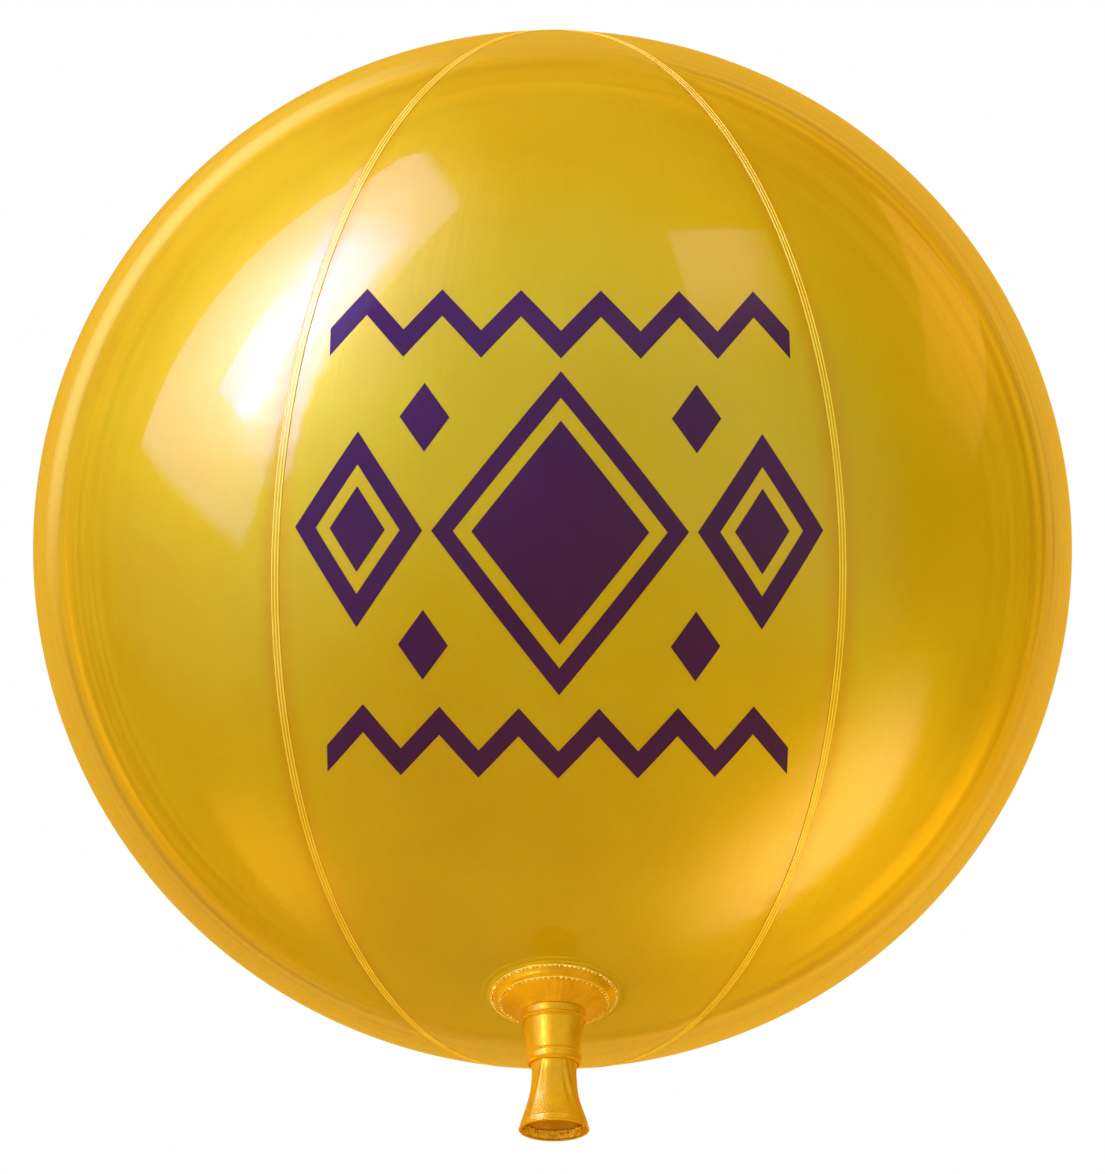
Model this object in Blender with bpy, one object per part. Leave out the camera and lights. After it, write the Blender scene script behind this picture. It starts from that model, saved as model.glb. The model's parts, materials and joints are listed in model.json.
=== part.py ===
"""Advertising balloon of welded PVC film: six gores, weld strips, pole discs, filling neck and front print.

Metres, +Z up. The origin is the centre of the sphere. The printed gore faces -Y and a little down,
and the filling neck hangs straight down from it.
"""
import math

import bmesh
import bpy
from mathutils import Vector

# Driving dimensions of the sphere
BALLOON_RADIUS = 1.0
SHELL_THICKNESS = 0.010
GORE_COUNT = 6
POLE_LEAN = math.radians(28.3)
POLE_HOLE_RADIUS = 0.020
TOUCH_GAP = 0.0003
FACET_GAP = 0.0004

# How finely the film is faceted
GORE_COLUMNS = 8
GORE_ROWS = 30
NECK_SIDES = 32

# Weld strips and pole discs
STRIP_HALF_WIDTH = 0.009
RIDGE_SPACING = 0.0056
RIDGE_HEIGHT = 0.0016
GROOVE_HEIGHT = 0.0007
STRIP_EDGE_HEIGHT = 0.0004
POLE_DISC_RADIUS = 0.040
POLE_DISC_THICKNESS = 0.0025
STRIP_END_RADIUS = POLE_DISC_RADIUS + 0.0015

# Filling neck, measured from its axis and, for lengths, from the film downwards
FLANGE_TILT = math.radians(10.6)
BEND_START = 0.005
BEND_END = 0.029
WALL = 0.0025
GORE_HOLE_RADIUS = 0.062
PATCH_RADIUS = 0.120
PATCH_THICKNESS = 0.0025
PATCH_SEAT_INNER = 0.084
PATCH_SEAT_OUTER = 0.116
PATCH_EDGE_THICKNESS = 0.0012
PATCH_ROOT = 0.004
OUTER_WELD_RADIUS = 0.113
INNER_WELD_RADIUS = 0.097
COLLAR_RADIUS = 0.059
COLLAR_HEIGHT = 0.021
SLEEVE_TOP_RADIUS = 0.0545
SLEEVE_END_RADIUS = 0.048
SLEEVE_LENGTH = 0.057
BAND_HEIGHT = 0.023
WAIST_RADIUS = 0.0405
TAIL_LENGTH = 0.124
MOUTH_RADIUS = 0.0635
HEM_THICKNESS = 0.005
FACING_HEIGHT = 0.015
FACING_THICKNESS = 0.0015
TAIL_FOLDS = 7
TAIL_FOLD_DEPTH = 0.0014

# Where the neck's pieces begin and end
COLLAR_TOP = BEND_END + TOUCH_GAP
COLLAR_BOTTOM = COLLAR_TOP + COLLAR_HEIGHT
BAND_TOP = COLLAR_BOTTOM + SLEEVE_LENGTH
BAND_BOTTOM = BAND_TOP + BAND_HEIGHT
MOUTH = BAND_BOTTOM + TAIL_LENGTH
HEM_TOP = MOUTH - HEM_THICKNESS

# Print on the front gore, laid out across and up from the middle of the gore
PRINT_THICKNESS = 0.002
PRINT_MIDDLE = 0.09
PRINT_STEP = 0.045
ZIGZAG_TEETH = 6
ZIGZAG_HALF_LENGTH = 0.42
ZIGZAG_RISE = 0.080
ZIGZAG_WIDTH = 0.052

# The axes of the gores: the upper pole, the middle of the front gore, and the side
POLE_AXIS = Vector((0, -math.sin(POLE_LEAN), math.cos(POLE_LEAN)))
FRONT_AXIS = Vector((0, -math.cos(POLE_LEAN), -math.sin(POLE_LEAN)))
SIDE_AXIS = Vector((1, 0, 0))
FLANGE_AXIS = Vector((0, -math.sin(FLANGE_TILT), -math.cos(FLANGE_TILT)))

GORE_ANGLE = 2 * math.pi / GORE_COUNT
END_LATITUDE = math.acos(POLE_HOLE_RADIUS / BALLOON_RADIUS)

# Colours, roughness and metallic value of each finish
FINISHES = {
    "film": ((0.80, 0.47, 0.03), 0.16, 0.35),
    "weld": ((0.90, 0.58, 0.06), 0.22, 0.35),
    "neck": ((0.76, 0.42, 0.02), 0.24, 0.35),
    "lining": ((0.50, 0.26, 0.01), 0.35, 0.20),
    "ink": ((0.055, 0.012, 0.085), 0.25, 0.0),
}


def clear_scene():
    """Remove what the file starts with."""
    for obj in list(bpy.data.objects):
        bpy.data.objects.remove(obj, do_unlink=True)


def finish_material(name, finish):
    """A Principled material of its own for one sub-part."""
    colour, roughness, metallic = FINISHES[finish]
    material = bpy.data.materials.new(name)
    material.use_nodes = True
    shader = material.node_tree.nodes["Principled BSDF"]
    shader.inputs["Base Color"].default_value = (*colour, 1)
    shader.inputs["Roughness"].default_value = roughness
    shader.inputs["Metallic"].default_value = metallic
    material.diffuse_color = (*colour, 1)
    return material


def add_object(name, points, faces, finish=None, sharp_angle=40):
    """Link a closed mesh, facing outwards and shaded smooth; a piece with no finish is a guide."""
    shape = bmesh.new()
    corners = [shape.verts.new(point) for point in points]
    for face in faces:
        shape.faces.new([corners[index] for index in face])
    bmesh.ops.recalc_face_normals(shape, faces=shape.faces)
    mesh = bpy.data.meshes.new(name)
    shape.to_mesh(mesh)
    shape.free()
    mesh.shade_smooth()
    mesh.set_sharp_from_angle(angle=math.radians(sharp_angle))
    obj = bpy.data.objects.new(name, mesh)
    bpy.context.scene.collection.objects.link(obj)
    if finish is None:
        obj.hide_render = True
        obj.display_type = "WIRE"
    else:
        mesh.materials.append(finish_material(name, finish))
    return obj


def add_boolean(obj, other, operation):
    """Cut a piece by a guide, or keep only what lies inside it."""
    cut = obj.modifiers.new(operation.lower(), "BOOLEAN")
    cut.operation = operation
    cut.solver = "EXACT"
    cut.object = other


def row_latitude(row):
    """Latitude of one row of facets, counted from the lower pole."""
    return END_LATITUDE * (2 * row / GORE_ROWS - 1)


def film_point(latitude, longitude, radius=BALLOON_RADIUS):
    """A point on a sphere about the balloon's centre; longitude 0 is the middle of the front gore."""
    across = FRONT_AXIS * math.cos(longitude) + SIDE_AXIS * math.sin(longitude)
    return radius * (across * math.cos(latitude) + POLE_AXIS * math.sin(latitude))


def gore_shell(middle, outer_radius, inner_radius):
    """Points and faces of one gore, its two long edges set back by half the touching gap."""
    points = []
    for radius in (outer_radius, inner_radius):
        for row in range(GORE_ROWS + 1):
            for column in range(GORE_COLUMNS + 1):
                longitude = middle + GORE_ANGLE * (column / GORE_COLUMNS - 0.5)
                point = film_point(row_latitude(row), longitude, radius)
                if column in (0, GORE_COLUMNS):
                    inward = film_point(0, longitude + math.pi / 2, 1)
                    point += inward * (TOUCH_GAP / 2 if column == 0 else -TOUCH_GAP / 2)
                points.append(point)
    width = GORE_COLUMNS + 1
    layer = width * (GORE_ROWS + 1)
    faces = []
    for row in range(GORE_ROWS):
        for column in range(GORE_COLUMNS):
            first = row * width + column
            outer = (first, first + 1, first + width + 1, first + width)
            faces.append(outer)
            faces.append(tuple(index + layer for index in outer))
        for edge in (row * width, row * width + GORE_COLUMNS):
            faces.append((edge, edge + width, edge + width + layer, edge + layer))
    for column in range(GORE_COLUMNS):
        for first in (column, GORE_ROWS * width + column):
            faces.append((first, first + 1, first + 1 + layer, first + layer))
    return points, faces


def make_gores():
    """Six gores; the front one has a round hole for the neck."""
    inner_radius = BALLOON_RADIUS - SHELL_THICKNESS
    gores = []
    for number in range(GORE_COUNT):
        points, faces = gore_shell(number * GORE_ANGLE, BALLOON_RADIUS, inner_radius)
        gores.append(add_object(f"gore_{number + 1}", points, faces, "film"))
    hole = [(GORE_HOLE_RADIUS, -0.05), (GORE_HOLE_RADIUS, 0.03)]
    cutter = turned_plug("neck_hole_guide", hole)
    add_boolean(gores[0], cutter, "DIFFERENCE")


def strip_section(row, seam):
    """The strip's section on one row: a V-bent underside and three ridges on top."""
    latitude = row_latitude(row)
    edge = film_point(latitude, seam)
    column = GORE_ANGLE / GORE_COLUMNS
    sides = {sign: (film_point(latitude, seam + sign * column) - edge).normalized() for sign in (-1, 1)}
    valley = RIDGE_SPACING / 2
    top = (
        (-STRIP_HALF_WIDTH, STRIP_EDGE_HEIGHT),
        (-RIDGE_SPACING, RIDGE_HEIGHT),
        (-valley, GROOVE_HEIGHT),
        (0, RIDGE_HEIGHT),
        (valley, GROOVE_HEIGHT),
        (RIDGE_SPACING, RIDGE_HEIGHT),
        (STRIP_HALF_WIDTH, STRIP_EDGE_HEIGHT),
    )
    underside = ((STRIP_HALF_WIDTH, 0), (0, 0), (-STRIP_HALF_WIDTH, 0))
    section = []
    for offset, height in top + underside:
        side = sides[1 if offset >= 0 else -1]
        flat = edge + side * abs(offset)
        section.append(flat * (1 + (FACET_GAP + height) / BALLOON_RADIUS))
    return section


def blend_sections(first, second, share):
    """A section part of the way from one row to the next."""
    return [a.lerp(b, share) for a, b in zip(first, second)]


def make_weld_strips():
    """One strip over each seam, ending just short of the pole discs."""
    next_radius = BALLOON_RADIUS * math.cos(row_latitude(1))
    share = (STRIP_END_RADIUS - POLE_HOLE_RADIUS) / (next_radius - POLE_HOLE_RADIUS)
    for number in range(GORE_COUNT):
        seam = (number + 0.5) * GORE_ANGLE
        rows = [strip_section(row, seam) for row in range(GORE_ROWS + 1)]
        rows[0] = blend_sections(rows[0], rows[1], share)
        rows[-1] = blend_sections(rows[-1], rows[-2], share)
        around = len(rows[0])
        points = [point for section in rows for point in section]
        faces = []
        for row in range(GORE_ROWS):
            for index in range(around):
                after = (index + 1) % around
                first, second = row * around, (row + 1) * around
                faces.append((first + index, first + after, second + after, second + index))
        for start in (0, GORE_ROWS * around):
            faces.append(tuple(start + index for index in (0, 1, 2, 3, 8, 9)))
            faces.append(tuple(start + index for index in (3, 4, 5, 6, 7, 8)))
        add_object(f"weld_strip_{number + 1}", points, faces, "weld", sharp_angle=60)


def make_pole_discs():
    """A round patch over the gores' points at each pole, sloped as the facets under it are."""
    next_latitude = -row_latitude(1)
    drop = math.sin(END_LATITUDE) - math.sin(next_latitude)
    slope = drop * BALLOON_RADIUS / (BALLOON_RADIUS * math.cos(next_latitude) - POLE_HOLE_RADIUS)
    seat = BALLOON_RADIUS * math.sin(END_LATITUDE) + slope * POLE_HOLE_RADIUS + FACET_GAP
    rings = (
        (POLE_DISC_RADIUS, 0),
        (POLE_DISC_RADIUS, POLE_DISC_THICKNESS * 0.4),
        (POLE_DISC_RADIUS * 0.9, POLE_DISC_THICKNESS),
    )
    sides = GORE_COUNT * GORE_COLUMNS // 2
    for name, direction in (("crown_disc", 1), ("base_disc", -1)):
        points = []
        for radius, height in rings:
            level = seat - slope * radius + height
            for side in range(sides):
                angle = 2 * math.pi * side / sides
                across = FRONT_AXIS * math.cos(angle) + SIDE_AXIS * math.sin(angle)
                points.append(across * radius + POLE_AXIS * direction * level)
        points.append(POLE_AXIS * direction * seat)
        points.append(POLE_AXIS * direction * (seat + POLE_DISC_THICKNESS))
        faces = []
        for side in range(sides):
            after = (side + 1) % sides
            for ring in (0, sides):
                faces.append((ring + side, ring + after, ring + after + sides, ring + side + sides))
            faces.append((side, after, 3 * sides))
            faces.append((2 * sides + side, 2 * sides + after, 3 * sides + 1))
        add_object(name, points, faces, "weld")


def neck_frame(along):
    """Centre and tilt of the neck's ring at a distance below the film."""
    bend_radius = (BEND_END - BEND_START) / FLANGE_TILT
    turned = min(max(along - BEND_START, 0), BEND_END - BEND_START)
    tilt = FLANGE_TILT - turned / bend_radius
    forward = math.cos(FLANGE_TILT) - math.cos(tilt)
    down = math.sin(tilt) - math.sin(FLANGE_TILT)
    centre = FLANGE_AXIS * (BALLOON_RADIUS + min(along, BEND_START))
    centre += Vector((0, forward, down)) * bend_radius
    centre.z -= max(along - BEND_END, 0)
    return centre, tilt


def neck_ring(radius, along, folds=0.0):
    """Points of one ring of the neck; its folds swell and sink by the given depth."""
    centre, tilt = neck_frame(along)
    front = Vector((0, -math.cos(tilt), math.sin(tilt)))
    ring = []
    for side in range(NECK_SIDES):
        angle = 2 * math.pi * side / NECK_SIDES
        reach = radius + folds * math.cos(TAIL_FOLDS * (angle - math.pi / 2))
        ring.append(centre + reach * (SIDE_AXIS * math.cos(angle) + front * math.sin(angle)))
    return ring


def ring_faces(first, second):
    """Quads between two rings that start at the given point numbers."""
    faces = []
    for side in range(NECK_SIDES):
        after = (side + 1) % NECK_SIDES
        faces.append((first + side, first + after, second + after, second + side))
    return faces


def turned_piece(name, outline, finish, fold_depth=None):
    """A ring-shaped piece round the neck, from its closed outline of (radius, distance below the film)."""
    points = []
    for radius, along in outline:
        folds = fold_depth(along) if fold_depth else 0.0
        points.extend(neck_ring(radius, along, folds))
    faces = []
    for index in range(len(outline)):
        after = (index + 1) % len(outline)
        faces.extend(ring_faces(index * NECK_SIDES, after * NECK_SIDES))
    return add_object(name, points, faces, finish)


def turned_plug(name, outline):
    """A solid guide round the neck's axis, closed at both ends."""
    points = []
    faces = []
    for index, (radius, along) in enumerate(outline):
        points.extend(neck_ring(radius, along))
        if index:
            faces.extend(ring_faces((index - 1) * NECK_SIDES, index * NECK_SIDES))
    faces.append(tuple(range(NECK_SIDES)))
    faces.append(tuple(range(len(points) - NECK_SIDES, len(points))))
    return add_object(name, points, faces)


def film_depth(radius):
    """How far the film has curved away from the flange's centre at a radius."""
    return BALLOON_RADIUS - math.sqrt(BALLOON_RADIUS ** 2 - radius ** 2)


def patch_top(radius):
    """Height of the neck patch's flat seat at a radius."""
    inner = PATCH_THICKNESS - film_depth(PATCH_SEAT_INNER)
    outer = PATCH_THICKNESS - film_depth(PATCH_SEAT_OUTER)
    share = (radius - PATCH_SEAT_INNER) / (PATCH_SEAT_OUTER - PATCH_SEAT_INNER)
    return inner + (outer - inner) * share


def make_neck_patch():
    """The round reinforcement welded to the front gore, seated on its facets."""
    outline = [
        (GORE_HOLE_RADIUS, -film_depth(GORE_HOLE_RADIUS) - PATCH_ROOT),
        (GORE_HOLE_RADIUS, PATCH_THICKNESS - film_depth(GORE_HOLE_RADIUS)),
        (PATCH_SEAT_INNER, patch_top(PATCH_SEAT_INNER)),
        (PATCH_SEAT_OUTER, patch_top(PATCH_SEAT_OUTER)),
        (PATCH_RADIUS, PATCH_EDGE_THICKNESS - film_depth(PATCH_RADIUS)),
        (PATCH_RADIUS, -film_depth(PATCH_RADIUS) - PATCH_ROOT),
    ]
    patch = turned_piece("neck_patch", outline, "neck")
    inner_radius = BALLOON_RADIUS - SHELL_THICKNESS
    guide = add_object("front_gore_guide", *gore_shell(0, BALLOON_RADIUS + FACET_GAP, inner_radius))
    add_boolean(patch, guide, "DIFFERENCE")


def make_neck_skirt():
    """The flared base of the neck, with a padded ring between its two weld rows."""
    foot = [
        (PATCH_SEAT_INNER + WALL, patch_top(PATCH_SEAT_INNER + WALL) + TOUCH_GAP),
        (OUTER_WELD_RADIUS + 0.002, patch_top(OUTER_WELD_RADIUS + 0.002) + TOUCH_GAP),
        (OUTER_WELD_RADIUS, patch_top(OUTER_WELD_RADIUS) + 0.002),
        ((OUTER_WELD_RADIUS + INNER_WELD_RADIUS) / 2, patch_top(0.105) + 0.0055),
        (INNER_WELD_RADIUS, patch_top(INNER_WELD_RADIUS) + 0.0035),
    ]
    flare = [
        (0.087, 0.0070),
        (0.077, 0.0125),
        (0.068, 0.0195),
        (0.0620, 0.0250),
        (COLLAR_RADIUS, BEND_END),
    ]
    inside = [
        (COLLAR_RADIUS - WALL, BEND_END),
        (0.0615 - WALL, 0.0230),
        (0.074 - WALL, 0.0120),
    ]
    turned_piece("neck_skirt", foot + flare + inside, "neck")


def make_collar():
    """The short upper collar, with a ridge along its lower edge."""
    ridge = 0.0015
    inner = COLLAR_RADIUS - WALL
    outline = [
        (inner, COLLAR_TOP),
        (COLLAR_RADIUS, COLLAR_TOP),
        (COLLAR_RADIUS, COLLAR_BOTTOM - 0.006),
        (COLLAR_RADIUS + ridge, COLLAR_BOTTOM - 0.003),
        (COLLAR_RADIUS, COLLAR_BOTTOM),
        (inner, COLLAR_BOTTOM),
    ]
    turned_piece("upper_collar", outline, "neck")


def make_sleeve():
    """The tapered sleeve, its top held inside the collar and its end inside the band."""
    held = COLLAR_RADIUS - WALL - TOUCH_GAP
    end = SLEEVE_END_RADIUS - 0.001
    outer = [
        (held, COLLAR_TOP - 0.004),
        (held, COLLAR_BOTTOM),
        (SLEEVE_TOP_RADIUS, COLLAR_BOTTOM + 0.003),
        (0.0515, COLLAR_BOTTOM + SLEEVE_LENGTH * 0.5),
        (SLEEVE_END_RADIUS, BAND_TOP - 0.001),
        (end, BAND_TOP + 0.0005),
        (end, BAND_TOP + BAND_HEIGHT * 0.5),
    ]
    inner = [(radius - WALL, along) for radius, along in reversed(outer)]
    turned_piece("neck_sleeve", outer + inner, "neck")


def make_band():
    """The lower band: a ring round the sleeve's end, with a lip that holds the tail's top."""
    bore = SLEEVE_END_RADIUS - 0.001 + TOUCH_GAP
    lip = WAIST_RADIUS + WALL + TOUCH_GAP
    shelf = BAND_TOP + BAND_HEIGHT * 0.5 + TOUCH_GAP
    crest = 0.0503
    outline = [
        (bore, BAND_TOP + 0.001),
        (0.0492, BAND_TOP + 0.001),
        (crest, BAND_TOP + 0.0035),
        (0.0489, BAND_TOP + 0.006),
        (0.0487, BAND_BOTTOM - 0.005),
        (crest - 0.0005, BAND_BOTTOM - 0.0025),
        (0.0480, BAND_BOTTOM),
        (lip, BAND_BOTTOM),
        (lip, shelf),
        (bore, shelf),
    ]
    turned_piece("lower_band", outline, "neck")


def tail_outline():
    """Outer radius of the tail against the distance below the film: top, waist and flare."""
    top = BAND_TOP + BAND_HEIGHT * 0.5 + 0.001
    held = WAIST_RADIUS + WALL
    return [
        (held, top),
        (held, BAND_BOTTOM),
        (0.0412, BAND_BOTTOM + 0.006),
        (WAIST_RADIUS, BAND_BOTTOM + 0.016),
        (0.0422, MOUTH - 0.080),
        (0.0462, MOUTH - 0.062),
        (0.0508, MOUTH - 0.043),
        (0.0568, MOUTH - 0.025),
        (0.0612, MOUTH - 0.012),
        (MOUTH_RADIUS - 0.001, HEM_TOP - TOUCH_GAP),
    ]


def tail_fold_depth(along):
    """The folds grow below the waist and die out at the hem."""
    share = (along - BAND_BOTTOM) / (HEM_TOP - TOUCH_GAP - BAND_BOTTOM)
    if not 0 < share < 1:
        return 0.0
    return TAIL_FOLD_DEPTH * math.sin(math.pi * share ** 1.5)


def make_tail():
    """The soft tail, flaring with shallow folds from its waist to the mouth."""
    outer = tail_outline()
    inner = [(radius - WALL, along) for radius, along in reversed(outer)]
    turned_piece("neck_tail", outer + inner, "neck", tail_fold_depth)


def tail_radius(along):
    """The tail's outer radius at a distance below the film."""
    outline = tail_outline()
    for (radius, start), (next_radius, end) in zip(outline, outline[1:]):
        if start <= along <= end:
            return radius + (next_radius - radius) * (along - start) / (end - start)
    return outline[-1][0]


def make_mouth():
    """The rolled hem round the mouth, and its facing turned up inside the tail."""
    hem_inner = MOUTH_RADIUS - HEM_THICKNESS - 0.0008
    half = HEM_THICKNESS / 2
    hem = [
        (hem_inner + 0.0004, HEM_TOP),
        (MOUTH_RADIUS - 0.0004, HEM_TOP),
        (MOUTH_RADIUS + 0.0006, HEM_TOP + half),
        (MOUTH_RADIUS - 0.0006, MOUTH),
        (hem_inner + 0.0010, MOUTH),
        (hem_inner, HEM_TOP + half),
    ]
    turned_piece("mouth_hem", hem, "neck")
    levels = (HEM_TOP - TOUCH_GAP, MOUTH - 0.012, HEM_TOP - FACING_HEIGHT)
    outer = [(tail_radius(along) - WALL - TOUCH_GAP, along) for along in levels]
    inner = [(radius - FACING_THICKNESS, along) for radius, along in reversed(outer)]
    turned_piece("hem_facing", outer + inner, "lining", tail_fold_depth)


def print_prism(name, loops, guide):
    """A printed shape: four-cornered cells on the gore, pushed through the ink layer and cut to it."""
    numbers = {}
    points = []
    faces = []
    edges = {}

    def corner(across, up):
        key = (round(across, 5), round(up, 5))
        if key not in numbers:
            numbers[key] = len(points)
            latitude = up / BALLOON_RADIUS
            longitude = across / (BALLOON_RADIUS * math.cos(latitude))
            points.append(film_point(latitude, longitude, BALLOON_RADIUS * 1.05))
            points.append(film_point(latitude, longitude, BALLOON_RADIUS * 0.95))
        return numbers[key]

    for cell in loops:
        ids = []
        for across, up in cell:
            index = corner(across, up)
            if index not in ids:
                ids.append(index)
        faces.append(tuple(ids))
        faces.append(tuple(index + 1 for index in ids))
        for first, second in zip(ids, ids[1:] + ids[:1]):
            edges.setdefault(frozenset((first, second)), []).append((first, second))
    for uses in edges.values():
        if len(uses) == 1:
            first, second = uses[0]
            faces.append((first, second, second + 1, first + 1))
    shape = add_object(name, points, faces, "ink")
    add_boolean(shape, guide, "INTERSECT")


def lozenge_cells(centre, half_width, half_height, hollow):
    """Cells of a lozenge, from its outer edge in to a hollow that is the given share of its size."""
    steps = max(1, math.ceil(math.hypot(half_width, half_height) / PRINT_STEP))
    rings = max(1, math.ceil((1 - hollow) * half_width / PRINT_STEP))
    tips = ((1, 0), (0, 1), (-1, 0), (0, -1))
    cells = []

    def place(ring, side, step):
        size = 1 - (1 - hollow) * ring / rings
        (x0, y0), (x1, y1) = tips[side], tips[(side + 1) % 4]
        share = step / steps
        across = centre[0] + size * half_width * (x0 + (x1 - x0) * share)
        up = centre[1] + size * half_height * (y0 + (y1 - y0) * share)
        return across, up

    for ring in range(rings):
        for side in range(4):
            for step in range(steps):
                cells.append((place(ring, side, step), place(ring, side, step + 1),
                              place(ring + 1, side, step + 1), place(ring + 1, side, step)))
    return cells


def zigzag_cells(middle):
    """Cells of a zigzag stripe across the gore."""
    pitch = 2 * ZIGZAG_HALF_LENGTH / ZIGZAG_TEETH
    turns = []
    for turn in range(2 * ZIGZAG_TEETH + 1):
        rise = ZIGZAG_RISE / 2 if turn % 2 else -ZIGZAG_RISE / 2
        turns.append((-ZIGZAG_HALF_LENGTH + turn * pitch / 2, middle + rise))
    steps = max(1, math.ceil(math.hypot(pitch / 2, ZIGZAG_RISE) / PRINT_STEP))
    route = []
    for (x0, y0), (x1, y1) in zip(turns, turns[1:]):
        for step in range(steps):
            route.append((x0 + (x1 - x0) * step / steps, y0 + (y1 - y0) * step / steps))
    route.append(turns[-1])
    half = ZIGZAG_WIDTH / 2
    cells = []
    for (x0, y0), (x1, y1) in zip(route, route[1:]):
        cells.append(((x0, y0 - half), (x1, y1 - half), (x1, y1 + half), (x0, y0 + half)))
    return cells


def make_print():
    """A geometric print: a large lozenge, side lozenges, small ones between, and a zigzag above and below."""
    inner = BALLOON_RADIUS + FACET_GAP
    guide = add_object("ink_layer_guide", *gore_shell(0, inner + PRINT_THICKNESS, inner))
    lozenges = (
        # name, across, above the middle, half width, half height, hollow share
        ("print_core", 0, 0, 0.155, 0.196, 0),
        ("print_frame", 0, 0, 0.226, 0.286, 0.83),
        ("print_left_frame", -0.362, 0, 0.120, 0.172, 0.66),
        ("print_right_frame", 0.362, 0, 0.120, 0.172, 0.66),
        ("print_left_core", -0.362, 0, 0.052, 0.075, 0),
        ("print_right_core", 0.362, 0, 0.052, 0.075, 0),
        ("print_upper_left", -0.240, 0.200, 0.045, 0.062, 0),
        ("print_upper_right", 0.240, 0.200, 0.045, 0.062, 0),
        ("print_lower_left", -0.240, -0.200, 0.045, 0.062, 0),
        ("print_lower_right", 0.240, -0.200, 0.045, 0.062, 0),
    )
    for name, across, up, half_width, half_height, hollow in lozenges:
        cells = lozenge_cells((across, PRINT_MIDDLE + up), half_width, half_height, hollow)
        print_prism(name, cells, guide)
    for name, up in (("print_zigzag_upper", 0.376), ("print_zigzag_lower", -0.376)):
        print_prism(name, zigzag_cells(PRINT_MIDDLE + up), guide)


def main():
    """Build every piece of the balloon."""
    clear_scene()
    make_gores()
    make_weld_strips()
    make_pole_discs()
    make_neck_patch()
    make_neck_skirt()
    make_collar()
    make_sleeve()
    make_band()
    make_tail()
    make_mouth()
    make_print()


main()
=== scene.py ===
import json
import math

import bmesh
import bpy
import numpy as np
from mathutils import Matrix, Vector, noise

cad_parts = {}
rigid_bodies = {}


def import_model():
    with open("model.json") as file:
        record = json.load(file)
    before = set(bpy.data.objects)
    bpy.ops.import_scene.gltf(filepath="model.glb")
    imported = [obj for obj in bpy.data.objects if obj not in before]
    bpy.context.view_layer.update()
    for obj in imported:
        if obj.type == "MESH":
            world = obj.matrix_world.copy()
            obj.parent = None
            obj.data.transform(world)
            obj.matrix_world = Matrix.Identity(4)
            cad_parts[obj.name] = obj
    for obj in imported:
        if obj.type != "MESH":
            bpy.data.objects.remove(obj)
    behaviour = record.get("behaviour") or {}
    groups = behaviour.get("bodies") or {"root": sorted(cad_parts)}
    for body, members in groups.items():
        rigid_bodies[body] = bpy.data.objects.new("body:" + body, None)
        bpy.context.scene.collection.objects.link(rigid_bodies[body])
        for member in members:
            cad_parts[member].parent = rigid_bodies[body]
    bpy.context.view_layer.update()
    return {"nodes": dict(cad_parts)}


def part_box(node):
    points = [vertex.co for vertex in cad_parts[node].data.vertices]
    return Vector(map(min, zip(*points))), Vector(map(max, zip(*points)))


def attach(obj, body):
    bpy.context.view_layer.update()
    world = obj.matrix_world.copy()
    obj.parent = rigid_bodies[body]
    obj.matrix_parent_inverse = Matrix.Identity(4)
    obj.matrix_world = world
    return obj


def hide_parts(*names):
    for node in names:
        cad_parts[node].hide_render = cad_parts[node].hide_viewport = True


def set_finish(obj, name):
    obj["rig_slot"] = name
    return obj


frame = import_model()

# Sizes read from the frame
RADIUS = max(vertex.co.length for vertex in frame["nodes"]["gore_4"].data.vertices)
CROWN_LOW, CROWN_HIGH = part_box("crown_disc")
BAND_LOW, BAND_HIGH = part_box("lower_band")
HEM_LOW, HEM_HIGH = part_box("mouth_hem")
COLLAR_LOW, COLLAR_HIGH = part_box("upper_collar")
DISC_RADIUS = (CROWN_HIGH.x - CROWN_LOW.x) / 2
MOUTH_RADIUS = (HEM_HIGH.x - HEM_LOW.x) / 2

# The axes of the gores: the upper pole, the middle of the front gore, and the side
POLE_AXIS = ((CROWN_LOW + CROWN_HIGH) / 2).normalized()
FRONT_AXIS = Vector((0, -POLE_AXIS.z, POLE_AXIS.y))
SIDE_AXIS = Vector((1, 0, 0))
GORE_COUNT = 6
GORE_ANGLE = 2 * math.pi / GORE_COUNT
# The share of its angle that a gore fills, so that it meets its neighbours without crossing them
GORE_FILL = 0.99995
POLE_HOLE = 0.020

# The film's surface
FILM_THICKNESS = 0.002
GORE_HALF_COLUMNS = 36
GORE_ROWS = 320
EDGE_CROWDING = 1.9
VALLEY_DEPTH = 0.0009
VALLEY_REACH = 0.018
PUCKER_DEPTH = 0.00022
PUCKER_START = 0.014
PUCKER_REACH = 0.045
PUCKER_PITCH = 0.060
PUCKER_SWAY = 2.2
PUCKER_SWAY_RATE = 9.0
PUCKER_GORE_SHIFT = 1.7

# Pole discs and weld strips
DISC_SIDES = 96
DISC_ROW_INSET = 0.012
STRIP_HALF_WIDTH = 0.009
STRIP_HEIGHT = 0.0006
STRIP_STEPS = 300
STRIP_END_GAP = 0.001
# The strip's cross-section: across and up, as shares of its half width and of its height
STRIP_SECTION = ((-1.0, 0.05), (-0.94, 0.75), (-0.5, 1.0), (0.0, 1.0), (0.5, 1.0), (0.94, 0.75), (1.0, 0.05))
RIDGE_SPACING = 0.0061
RIDGE_RADIUS = 0.0019
RIDGE_SINK = 0.0005
RIDGE_WOBBLE = 0.00004
RIDGE_SIDES = 10
WOBBLE_SCALE = 26.0

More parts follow.
